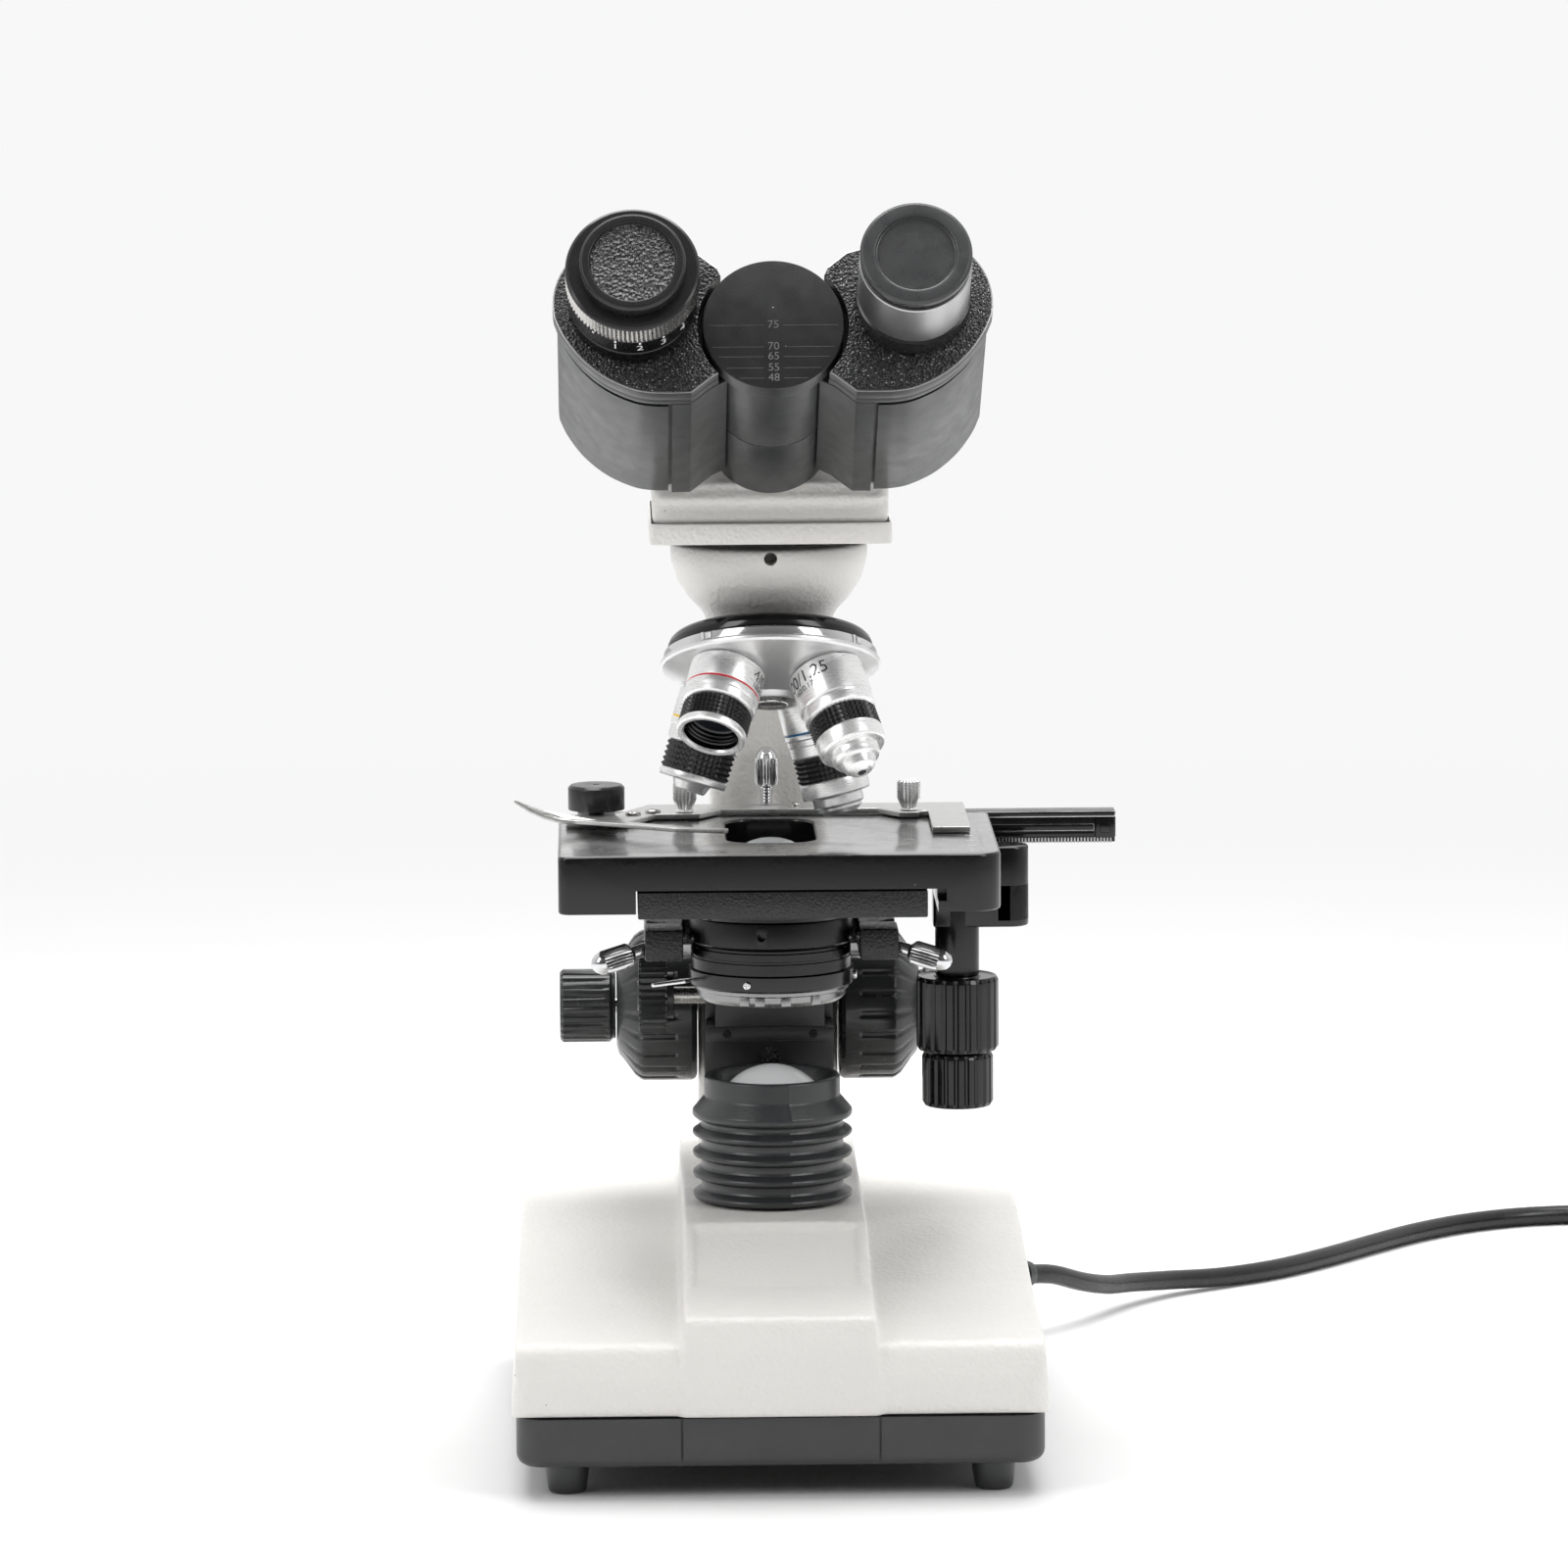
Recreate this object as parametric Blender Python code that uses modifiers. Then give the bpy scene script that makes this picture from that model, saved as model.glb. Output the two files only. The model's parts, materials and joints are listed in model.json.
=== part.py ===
"""Binocular compound microscope: stand, stage, condenser, nosepiece and folding head.

Lengths below are millimetres. MM turns them into metres. The design frame has the optical
axis at x = 0, y = 0 and the table at z = 0; -Y is the side of the person who looks in.
"""
import bpy
import bmesh
from math import atan2, cos, pi, radians, sin
from mathutils import Euler, Matrix, Vector

MM = 0.001
GAP = 0.3                       # clearance between touching pieces

# Whole object: bottom centre of its box is the origin
CENTRE_X, CENTRE_Y = 13.4, -3.9

# Base
BASE_HALF = 75.2
BASE_FRONT, BASE_BACK = -108.0, 105.0
COVER_BOTTOM = 23.3
SPINE_TOP, SPINE_HALF = 66.0, 27.8
WING_TOP, WING_FLAT_Y = 55.0, 46.0
TREAD_Z, TREAD_Y = 44.5, -68.0
WALL = 3.0
TRAY_BOTTOM, TRAY_TOP = 9.0, 23.0
FOOT_X, FOOT_FRONT_Y, FOOT_REAR_Y = 59.7, -92.0, 88.0

# Lamp
BOOT_BOTTOM, BOOT_TOP = 66.3, 102.5
BOOT_RING, BOOT_NECK, BOOT_COLLAR, BOOT_BORE = 23.1, 20.5, 19.6, 15.6

# Arm and focus drive
ARM_HALF_LOW, ARM_HALF_HIGH = 20.4, 16.5
FOCUS_Y, FOCUS_Z = 66.0, 112.5
COARSE_R, COARSE_IN, COARSE_OUT = 22.3, 21.0, 44.6
FINE_R, FINE_IN, FINE_OUT = 10.8, 45.9, 61.3

# Stage
STAGE_TOP, STAGE_BOTTOM = 172.5, 156.0
STAGE_LEFT, STAGE_RIGHT = -61.0, 64.5
STAGE_FRONT, STAGE_BACK, RAIL_BACK = -46.5, 41.0, 52.0
CHANNEL_LEFT, CHANNEL_RIGHT, CHANNEL_TOP = -39.0, 46.5, 162.75
SLOT_HALF, SLOT_FRONT, SLOT_BACK = 12.6, -19.0, 31.0
CONTROL_X, CONTROL_Y = 54.3, 18.0
HOLDER_BOTTOM, HOLDER_TOP = 172.9, 174.4
PIVOT_X, PIVOT_Y = -50.0, 22.0

# Condenser
COND_R = 23.4
COND_KNOB_Y, COND_KNOB_Z, COND_KNOB_R = 31.0, 120.8, 11.0
SCREW_DIRECTION = Vector((0.91, -0.33, -0.24)).normalized()
SCREW_POINT = Vector((31.0, -2.0, 141.1))

# Nosepiece: the axis meets the optical axis at the apex and leans forward going down
TILT = 22.0
APEX_Z, RIM_DROP = 263.0, 42.5
SEAT_RADIUS, SEAT_DROP = 19.5, 5.8
MOUNT_RISE = 8.0
PARKED_TURN = -6.0

# Head: hinge axis leaves the optical axis at HEAD_Z, pointing forward and 30 degrees up
HEAD_Z, HEAD_RISE = 275.0, 30.0
KNUCKLE_R, COLUMN_R, DISC_R = 17.2, 11.8, 19.55
RING_START, RING_SPLIT, RING_END = 27.6, 59.0, 93.0
DISC_TOP = 103.0
BODY_START, BODY_END = 34.0, 99.0
PLATE_START, PLATE_END = 99.3, 102.3
EYE_X, EYE_W = 38.7, 6.7

ROUND = 20                      # segments of a turned piece
FINE_ROUND = 28

# Cord route on the table, chosen by hand: x, y, z of the cord's middle
CORD_R = 3.0
CORD_ROUTE = ((80.1, 127.4, 18.9), (87.8, 135.2, 17.2), (97.0, 147.0, 12.7), (105.5, 161.0, 9.0),
              (114.0, 174.5, 7.0), (127.0, 189.0, 4.9), (143.0, 201.0, 3.4), (161.0, 215.0, 3.1),
              (178.0, 234.0, 3.1), (194.0, 255.0, 3.1), (210.0, 275.0, 3.1), (227.0, 291.0, 3.1),
              (246.0, 301.5, 3.1), (266.0, 305.6, 3.1), (288.0, 306.4, 3.1), (309.0, 306.0, 3.1))
COIL_X, COIL_Y, COIL_MEAN, COIL_HALF, COIL_HEIGHT = 317.0, 263.0, 33.0, 6.1, 17.6
PLUG_X, PLUG_Z, PLUG_ENTRY = 353.0, 12.3, 240.6
GLAND_X, GLAND_Z = 62.0, 22.0


def collection(name):
    group = bpy.data.collections.new(name)
    bpy.context.scene.collection.children.link(group)
    return group


def material(name, colour, roughness, metallic=0.0):
    mat = bpy.data.materials.new(name)
    mat.use_nodes = True
    shader = mat.node_tree.nodes["Principled BSDF"]
    shader.inputs["Base Color"].default_value = (*colour, 1.0)
    shader.inputs["Roughness"].default_value = roughness
    shader.inputs["Metallic"].default_value = metallic
    mat.diffuse_color = (*colour, 1.0)
    return mat


WHITE = ((0.86, 0.86, 0.84), 0.45, 0.0)
BLACK = ((0.025, 0.025, 0.027), 0.4, 0.0)
RUBBER = ((0.035, 0.036, 0.038), 0.6, 0.0)
GREY = ((0.05, 0.05, 0.052), 0.45, 0.0)
SATIN = ((0.62, 0.62, 0.62), 0.32, 1.0)
CHROME = ((0.75, 0.75, 0.76), 0.12, 1.0)
GLASS = ((0.8, 0.83, 0.86), 0.15, 0.0)


def clear_scene():
    for obj in list(bpy.data.objects):
        bpy.data.objects.remove(obj)


def new_object(name, mesh, looks, parent):
    obj = bpy.data.objects.new(name, mesh)
    (PARTS if looks else CUTTERS).objects.link(obj)
    obj.parent = parent
    if looks:
        obj.data.materials.append(material(name, *looks))
    else:
        obj.hide_render = True
        obj.display_type = "WIRE"
    return obj


def turned(name, profile, looks, parent, place=(0, 0, 0), turn=(0, 0, 0), steps=ROUND):
    """A body of revolution about its own Z. The profile runs down its outer side."""
    mesh = bpy.data.meshes.new(name)
    points = [(radius * MM, 0.0, height * MM) for radius, height in profile]
    closed = profile[0][0] > 0
    edges = [(i, i + 1) for i in range(len(points) - 1)]
    if closed:
        edges.append((len(points) - 1, 0))
    mesh.from_pydata(points, edges, [])
    obj = new_object(name, mesh, looks, parent)
    obj.location = Vector(place) * MM
    obj.rotation_euler = Euler(turn)
    screw = obj.modifiers.new("Turn", "SCREW")
    screw.steps = screw.render_steps = steps
    screw.use_merge_vertices = True
    screw.merge_threshold = 0.00001
    screw.use_smooth_shade = False
    return obj


def box(name, low, high, looks, parent, bevel=0.0, segments=1, turn=(0, 0, 0)):
    low, high = Vector(low), Vector(high)
    mesh = bpy.data.meshes.new(name)
    shape = bmesh.new()
    bmesh.ops.create_cube(shape, size=1.0)
    bmesh.ops.scale(shape, vec=(high - low) * MM, verts=shape.verts)
    shape.to_mesh(mesh)
    shape.free()
    obj = new_object(name, mesh, looks, parent)
    obj.location = (low + high) / 2 * MM
    obj.rotation_euler = Euler(turn)
    if bevel:
        round_edges(obj, bevel, segments)
    return obj


def round_edges(obj, width, segments=1, angle=40):
    bevel = obj.modifiers.new("Round", "BEVEL")
    bevel.width = width * MM
    bevel.segments = segments
    bevel.limit_method = "ANGLE"
    bevel.angle_limit = radians(angle)


def plate(name, outline, thickness, looks, parent, place=(0, 0, 0), turn=(0, 0, 0)):
    """A flat outline given half its thickness each way, as a welded mesh."""
    curve = bpy.data.curves.new(name, "CURVE")
    curve.dimensions = "2D"
    curve.fill_mode = "BOTH"
    curve.extrude = thickness / 2 * MM
    spline = curve.splines.new("POLY")
    spline.points.add(len(outline) - 1)
    for point, (x, y) in zip(spline.points, outline):
        point.co = (x * MM, y * MM, 0.0, 1.0)
    spline.use_cyclic_u = True
    guide = bpy.data.objects.new(name + "_outline", curve)
    CUTTERS.objects.link(guide)
    mesh = mesh_from(guide, name)
    obj = new_object(name, mesh, looks, parent)
    obj.location = Vector(place) * MM
    obj.rotation_euler = Euler(turn)
    return obj


def mesh_from(guide, name):
    """The welded mesh of a curve object, which is then removed."""
    view = bpy.context.evaluated_depsgraph_get()
    view.update()
    mesh = bpy.data.meshes.new_from_object(guide.evaluated_get(view))
    mesh.name = name
    shape = bmesh.new()
    shape.from_mesh(mesh)
    bmesh.ops.remove_doubles(shape, verts=shape.verts, dist=0.00001)
    bmesh.ops.recalc_face_normals(shape, faces=shape.faces)
    shape.to_mesh(mesh)
    shape.free()
    curve = guide.data
    bpy.data.objects.remove(guide)
    bpy.data.curves.remove(curve)
    mesh.materials.clear()
    return mesh


def combine(obj, other, operation):
    boolean = obj.modifiers.new(operation.title(), "BOOLEAN")
    boolean.operation = operation
    boolean.object = other
    boolean.solver = "EXACT"


def cylinder(name, radius, start, end, parent, steps=ROUND):
    """A cutting cylinder from start to end."""
    start, end = Vector(start), Vector(end)
    length = (end - start).length
    turn = (end - start).to_track_quat("Z", "Y").to_euler()
    profile = ((0, length), (radius, length), (radius, 0), (0, 0))
    return turned(name, profile, None, parent, start, turn, steps)


def empty(name, parent, place=(0, 0, 0), turn=(0, 0, 0)):
    frame = bpy.data.objects.new(name, None)
    PARTS.objects.link(frame)
    frame.parent = parent
    frame.location = Vector(place) * MM
    frame.rotation_euler = Euler(turn)
    return frame


def arc(centre, radius, start, end, count):
    """Points on an arc, angles in degrees."""
    step = (end - start) / (count - 1)
    return [(centre[0] + radius * cos(radians(start + step * i)),
             centre[1] + radius * sin(radians(start + step * i))) for i in range(count)]


def rounded(left, front, right, back, radii, count=4):
    """A rectangle seen from above with a radius for each corner, from front left round."""
    corners = ((left, front, 1, 1, 180), (right, front, -1, 1, 270), (right, back, -1, -1, 0),
               (left, back, 1, -1, 90))
    outline = []
    for (x, y, inward_x, inward_y, start), radius in zip(corners, radii):
        centre = (x + inward_x * radius, y + inward_y * radius)
        outline += arc(centre, radius, start, start + 90, count)
    return outline


SIDE = (pi / 2, 0, pi / 2)      # a plate in the YZ plane, thickness along X
ALONG_X = (0, pi / 2, 0)        # a turned piece about the X axis, its top at +X
FLAT_LEFT = (0, -pi / 2, 0)     # a turned piece about the X axis, its top at -X


# ---------------------------------------------------------------- base

def wing_outline(inset=0.0, bottom=COVER_BOTTOM):
    """Side view of the wings, from the front foot of the wall round to the back."""
    return [(BASE_FRONT + inset, bottom), (BASE_BACK - inset, bottom),
            (BASE_BACK - inset, WING_TOP - 3 - inset), (BASE_BACK - 3 - inset, WING_TOP - inset),
            (WING_FLAT_Y, WING_TOP - inset), (10.0, 50.6 - inset), (-30.0, 46.5 - inset),
            (TREAD_Y, TREAD_Z - inset), (-95.0, 44.0 - inset), (-103.5 + inset, 41.5 - inset),
            (BASE_FRONT + 0.4 + inset, 35.0 - inset)]


def spine_outline(inset=0.0, bottom=COVER_BOTTOM):
    """Side view of the raised middle with its step and slanted panel."""
    return [(BASE_FRONT - 0.6 + inset, bottom), (BASE_BACK - inset, bottom),
            (BASE_BACK - inset, SPINE_TOP - 2 - inset), (BASE_BACK - 2 - inset, SPINE_TOP - inset),
            (-38.0 + inset / 2, SPINE_TOP - inset), (-65.0, 52.6 - inset), (-98.0, 51.2 - inset),
            (-104.5 + inset, 48.5 - inset), (-107.8 + inset, 43.0 - inset)]


def drafted(name, outline, half, looks, parent, draft):
    """A side outline given a width that narrows upwards."""
    obj = plate(name, outline, 2 * half, looks, parent, turn=SIDE)
    for vertex in obj.data.vertices:
        height = vertex.co.y - COVER_BOTTOM * MM
        vertex.co.z *= 1 - draft * height / (half * MM)
    return obj


def make_base(root):
    cover = drafted("base_cover", wing_outline(), BASE_HALF, WHITE, root, 0.075)
    round_edges(cover, 3.0, 2, 50)
    spine = drafted("spine_form", spine_outline(), SPINE_HALF, None, root, 0.04)
    combine(cover, spine, "UNION")
    low = COVER_BOTTOM - 5
    wing_hollow = drafted("wing_hollow", wing_outline(WALL, low), BASE_HALF - 5.5, None, root, 0.0)
    spine_hollow = drafted("spine_hollow", spine_outline(WALL, low), SPINE_HALF - 4.6, None, root,
                           0.0)
    combine(cover, wing_hollow, "DIFFERENCE")
    combine(cover, spine_hollow, "DIFFERENCE")
    combine(cover, cylinder("lamp_hole", 16.0, (0, 0, 55), (0, 0, 70), root), "DIFFERENCE")
    combine(cover, box("switch_hole", (-52.6, 95, 33.4), (-31.4, 110, 46.6), None, root),
            "DIFFERENCE")
    combine(cover, cylinder("dial_hole", 4.0, (40, 95, 41), (40, 112, 41), root),
            "DIFFERENCE")

    tray = box("base_tray", (-73.8, -106, TRAY_BOTTOM), (73.8, 103.4, TRAY_TOP), GREY, root, 4.0, 2)
    combine(tray, box("tray_hollow", (-70.8, -103, 12), (70.8, 100.4, 30), None, root),
            "DIFFERENCE")
    boss = ((0, 52), (11, 52), (11, 10), (0, 10))
    combine(tray, turned("lamp_socket", boss, None, root, steps=24), "UNION")

    foot = ((0, 8.7), (6.35, 8.7), (6.0, 4.5), (5.6, 0.6), (5.2, 0.0), (0, 0.0))
    for name, x, y in (("front_left_foot", -FOOT_X, FOOT_FRONT_Y),
                       ("front_right_foot", FOOT_X, FOOT_FRONT_Y),
                       ("rear_left_foot", -FOOT_X, FOOT_REAR_Y),
                       ("rear_right_foot", FOOT_X, FOOT_REAR_Y)):
        turned(name, foot, RUBBER, root, (x, y, 0), steps=20)

    switch = box("rocker_switch", (-52.2, 97, 34.4), (-31.8, 107.6, 45.6), BLACK, root, 0.8, 1)
    move_origin(switch, (-42.0, 101.0, 40.0))
    dial = ((0, 7.0), (8.2, 7.0), (9.0, 6.0), (9.0, 0.6), (3.4, 0.6), (3.4, -10.0), (0, -10.0))
    turned("brightness_dial", dial, BLACK, root, (40, 105, 41), (-pi / 2, 0, 0), 24)


def move_origin(obj, place):
    """Puts an unrotated object's origin at place and keeps its shape where it is."""
    shift = obj.location - Vector(place) * MM
    obj.data.transform(Matrix.Translation(shift))
    obj.location = Vector(place) * MM


def make_lamp(root):
    rings, top = 5, BOOT_TOP - 6.2
    profile = [(BOOT_COLLAR - 0.6, BOOT_TOP), (BOOT_COLLAR, BOOT_TOP - 0.8), (BOOT_COLLAR, top)]
    pitch = (top - BOOT_BOTTOM) / rings
    for i in range(rings):
        crest = top - pitch * (i + 0.55)
        profile += [(BOOT_RING, crest + 0.8), (BOOT_RING, crest - 0.8)]
        if i < rings - 1:
            profile.append((BOOT_NECK, top - pitch * (i + 1)))
    profile += [(BOOT_NECK, BOOT_BOTTOM), (BOOT_BORE, BOOT_BOTTOM), (BOOT_BORE, BOOT_TOP - 3),
                (BOOT_BORE + 1.5, BOOT_TOP)]
    turned("lamp_boot", profile, RUBBER, root, steps=FINE_ROUND)

    radius, rise, rim = 13.0, 6.5, 99.0
    ball = (radius ** 2 + rise ** 2) / (2 * rise)
    lens = [(0, rim + rise)]
    for i in range(1, 5):
        angle = i / 4 * atan2(radius, ball - rise)
        lens.append((ball * sin(angle), rim + rise - ball + ball * cos(angle)))
    lens += [(BOOT_BORE - GAP, rim), (BOOT_BORE - GAP, rim - 5), (0, rim - 5)]
    turned("lamp_lens", lens, GLASS, root)
    bulb = ((0, 74), (3, 73), (5.5, 69), (5.5, 64), (3.5, 58), (3.5, 52.3), (0, 52.3))
    turned("lamp_bulb", bulb, GLASS, root, steps=16)


def make_cord(root):
    """The lead: gland on the back wall, a free run to the right, a stored coil and its plug."""
    out = Vector((0.70, 0.70, -0.12)).normalized()
    neck = Vector((GLAND_X, BASE_BACK + 4.3, GLAND_Z))
    gland = turned("cord_gland", ((0, 3.0), (7.0, 3.0), (7.0, GAP), (0, GAP)), RUBBER, root,
                   (GLAND_X, BASE_BACK, GLAND_Z), (-pi / 2, 0, 0))
    relief = ((0, 25.4), (4.2, 25.4), (5.4, 0), (0, 0))
    combine(gland, turned("relief_form", relief, None, root, neck,
                          out.to_track_quat("Z", "Y").to_euler(), 20), "UNION")

    curve = bpy.data.curves.new("power_cord", "CURVE")
    curve.dimensions = "3D"
    curve.bevel_depth = CORD_R * MM
    curve.bevel_resolution = 2
    curve.use_fill_caps = True
    route = smooth_route(CORD_ROUTE, 3)
    spline = curve.splines.new("POLY")
    spline.points.add(len(route) - 1)
    for point, place in zip(spline.points, route):
        point.co = (*(place * MM), 1.0)
    cord = bpy.data.objects.new("power_cord", curve)
    PARTS.objects.link(cord)
    cord.parent = root
    curve.materials.append(material("power_cord", *RUBBER))

    low, high = COIL_MEAN - COIL_HALF, COIL_MEAN + COIL_HALF
    coil = ((high - 2, COIL_HEIGHT), (high, COIL_HEIGHT - 3), (high, 3), (high - 2, 0.2),
            (low + 2, 0.2), (low, 3), (low, COIL_HEIGHT - 3), (low + 2, COIL_HEIGHT))
    turned("cord_coil", coil, RUBBER, root, (COIL_X, COIL_Y, 0))
    plug = box("power_plug", (PLUG_X - 17, 205, 0.3), (PLUG_X + 17, 221, 24.3), BLACK, root, 2.0,
               2)
    tail = cylinder("plug_relief", 4.2, (PLUG_X, 219, PLUG_Z), (PLUG_X, PLUG_ENTRY, PLUG_Z), root)
    combine(plug, tail, "UNION")
    for x in (PLUG_X - 6.5, PLUG_X + 6.5):
        pin = box("plug_pin", (x - 0.8, 187.5, 9.2), (x + 0.8, 207, 15.4), None, root)
        combine(plug, pin, "UNION")


def smooth_route(points, parts):
    """Points on a smooth curve through the given ones, parts to each stretch."""
    nodes = [Vector(p) for p in points]
    nodes = [2 * nodes[0] - nodes[1]] + nodes + [2 * nodes[-1] - nodes[-2]]
    route = []
    for i in range(1, len(nodes) - 2):
        a, b, c, d = nodes[i - 1:i + 3]
        for k in range(parts):
            t = k / parts
            route.append(0.5 * (2 * b + (c - a) * t + (2 * a - 5 * b + 4 * c - d) * t * t
                                + (3 * b - a - 3 * c + d) * t ** 3))
    route.append(nodes[-2])
    return route


# ---------------------------------------------------------------- arm and focus

def make_arm(root):
    lower = [(54.0, SPINE_TOP + GAP), (101.0, SPINE_TOP + GAP), (103.0, 100.0), (101.0, 133.0),
             (64.4, 133.0), (54.0, 124.0)]
    upper = [(65.0, 120.0), (100.5, 120.0), (99.0, 160.0), (93.0, 196.0), (80.0, 227.0),
             (62.0, 246.0), (38.0, 255.0), (7.3, 256.3), (7.3, 239.0), (20.0, 236.0),
             (44.0, 226.0), (58.0, 208.0), (65.0, 184.0)]
    arm = plate("arm", lower, 2 * ARM_HALF_LOW, WHITE, root, turn=SIDE)
    round_edges(arm, 3.0, 1, 60)
    top = plate("arm_neck", upper, 2 * ARM_HALF_HIGH, None, root, turn=SIDE)
    combine(arm, top, "UNION")
    bowl = [(0, 257.5), (27.6, 257.5), (28.4, 256.6), (28.0, 252.0), (26.2, 246.5), (23.0, 241.5),
            (18.5, 237.5), (17.0, 225.0), (0, 225.0)]
    combine(arm, turned("bowl_form", bowl, None, root), "UNION")
    axis, rim = turret_axis()
    seat = rim - axis * (MOUNT_RISE + GAP)
    combine(arm, cylinder("nosepiece_clearance", 33.0, seat, seat + axis * 40, root),
            "DIFFERENCE")
    combine(arm, cylinder("shaft_bore", 5.6, (-30, FOCUS_Y, FOCUS_Z), (30, FOCUS_Y, FOCUS_Z),
                          root, 24), "DIFFERENCE")

    shaft = [(5.2, COARSE_IN - GAP), (5.2, -COARSE_IN + GAP), (2.8, -COARSE_IN + GAP),
             (2.8, COARSE_IN - GAP)]
    turned("coarse_shaft", shaft, CHROME, root, (0, FOCUS_Y, FOCUS_Z), ALONG_X, 24)
    turned("fine_shaft", ((0, FINE_IN - GAP), (2.4, FINE_IN - GAP), (2.4, -FINE_IN + GAP),
                          (0, -FINE_IN + GAP)), CHROME, root, (0, FOCUS_Y, FOCUS_Z), ALONG_X, 16)
    coarse = [(12.0, COARSE_OUT), (14.5, COARSE_OUT - 1.0), (20.5, COARSE_OUT - 5.6),
              (COARSE_R, COARSE_OUT - 7.5), (COARSE_R, COARSE_IN + 1.2),
              (COARSE_R - 1.2, COARSE_IN), (2.8, COARSE_IN), (2.8, COARSE_OUT)]
    fine = [(0, FINE_OUT), (FINE_R - 1.2, FINE_OUT), (FINE_R, FINE_OUT - 1.2), (FINE_R, FINE_IN),
            (0, FINE_IN)]
    for side, turn in (("left", FLAT_LEFT), ("right", ALONG_X)):
        turned("coarse_knob_" + side, coarse, BLACK, root, (0, FOCUS_Y, FOCUS_Z), turn, FINE_ROUND)
        turned("fine_knob_" + side, fine, BLACK, root, (0, FOCUS_Y, FOCUS_Z), turn)


# ---------------------------------------------------------------- stage

def make_stage(root):
    slide = box("stage_slide", (-19, 41, 94), (19, 53, 154.2), BLACK, root, 0.6)
    flange = box("slide_flange", (-19, 50, 146.5), (19, 62.6, 154.2), None, root)
    combine(slide, flange, "UNION")
    combine(slide, box("guide_form", (-16, 24.8, 108), (16, 45, 129.4), None, root), "UNION")
    screw = ((0, 11.6), (1.4, 11.3), (2.6, 10.2), (3.3, 8.4), (3.3, 0.2), (2.9, -0.2), (2.0, -0.3),
             (2.0, -24.0), (0, -24.0))
    turned("limit_screw", screw, CHROME, root, (0, 59.3, 178.6), steps=20)

    base = box("stage_base", (CHANNEL_LEFT + 0.4, -46, 154.5), (43.6, 52.4, 162.3), BLACK, root)
    ring = ((29, 158), (29, 150.5), (25.5, 150.5), (25.5, 158))
    combine(base, turned("ring_form", ring, None, root), "UNION")
    combine(base, cylinder("condenser_hole", 19.2, (0, 0, 145), (0, 0, 170), root),
            "DIFFERENCE")

    table = plate("stage_plate", rounded(STAGE_LEFT, STAGE_FRONT, STAGE_RIGHT, STAGE_BACK,
                                         (3.0, 8.0, 2.0, 2.0)), STAGE_TOP - STAGE_BOTTOM, BLACK,
                  root, (0, 0, (STAGE_TOP + STAGE_BOTTOM) / 2))
    ledge = box("rail_form", (STAGE_LEFT, 35, STAGE_BOTTOM), (STAGE_RIGHT, RAIL_BACK, 162.7),
                None, root)
    combine(table, ledge, "UNION")
    channel = box("channel", (CHANNEL_LEFT, -60, 150), (CHANNEL_RIGHT, 60, CHANNEL_TOP), None,
                  root)
    combine(table, channel, "DIFFERENCE")
    slot = plate("slot", rounded(-SLOT_HALF, SLOT_FRONT, SLOT_HALF, SLOT_BACK, (8.0,) * 4), 20,
                 None, root, (0, 0, STAGE_TOP))
    combine(table, slot, "DIFFERENCE")
    post = box("control_post", (47.2, 12, 142.8), (75.0, 24, 155.6), BLACK, root, 0.5)
    combine(post, box("post_form", (65.0, 12, 144), (75.0, 24, 166.2), None, root, 3.0, 2), "UNION")
    tube = ((0, 150), (6.4, 150), (6.4, 128.6), (0, 128.6))
    combine(post, turned("tube_form", tube, None, root, (CONTROL_X, CONTROL_Y, 0), steps=24),
            "UNION")
    fluted("stage_y_knob", 11.9, 22.0, 106.2, root)
    fluted("stage_x_knob", 10.3, 15.9, 89.9, root)


def fluted(name, radius, height, bottom, root):
    profile = ((0, height), (radius - 0.9, height), (radius, height - 0.9), (radius, 0.9),
               (radius - 0.9, 0), (0, 0))
    turned(name, profile, BLACK, root, (CONTROL_X, CONTROL_Y, bottom))


def make_holder(root):
    """The slide holder, its rack bar behind the table and the sprung finger."""
    box("x_rack_bar", (-52, 42, 163.0), (101.8, 50.5, 172.4), BLACK, root, 0.4)
    outline = [(-59, 13.5), (-41, 13.5), (-33, 29), (-27.5, 29), (-20, 29), (-14, 38), (32, 38),
               (38, 29), (46.5, 29), (46.5, -3), (57.5, -3), (57.5, 50), (-35, 50), (-44, 31),
               (-59, 31)]
    plate("slide_holder", outline, HOLDER_TOP - HOLDER_BOTTOM, SATIN, root,
          (0, 0, (HOLDER_TOP + HOLDER_BOTTOM) / 2))
    pivot = ((0, 184.2), (7.4, 184.2), (8.2, 183.4), (8.2, 176.9), (2.2, 176.9), (2.2, 174.7),
             (0, 174.7))
    turned("clamp_pivot", pivot, BLACK, root, (PIVOT_X, PIVOT_Y, 0), steps=24)
    inner = [(38.0, -37.2), (24.0, -32.0), (8.0, -20.5), (5.0, -3.5)]
    outer = [(-5.0, -4.0), (-8.0, -12.5), (-23.0, -14.8), (-24.0, -16.6), (-6.0, -17.6),
             (6.0, -25.0), (22.0, -35.6), (37.0, -40.0)]
    finger = plate("clamp_finger", inner + arc((0, 0), 5.6, -30, 210, 9) + outer, 1.4, SATIN, root,
                   (PIVOT_X, PIVOT_Y, 175.6))
    combine(finger, cylinder("pivot_hole", 2.6, (PIVOT_X, PIVOT_Y, 170), (PIVOT_X, PIVOT_Y, 180),
                             root, 16), "DIFFERENCE")
    screw = ((0, 8.6), (2.9, 8.6), (3.4, 8.1), (3.4, 3.0), (2.2, 0.6), (2.2, 0), (0, 0))
    for name, x in (("thumb_screw_left", -24.3), ("thumb_screw_right", 41.0)):
        turned(name, screw, CHROME, root, (x, 33.5, HOLDER_TOP + GAP), steps=16)


# ---------------------------------------------------------------- condenser

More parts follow.
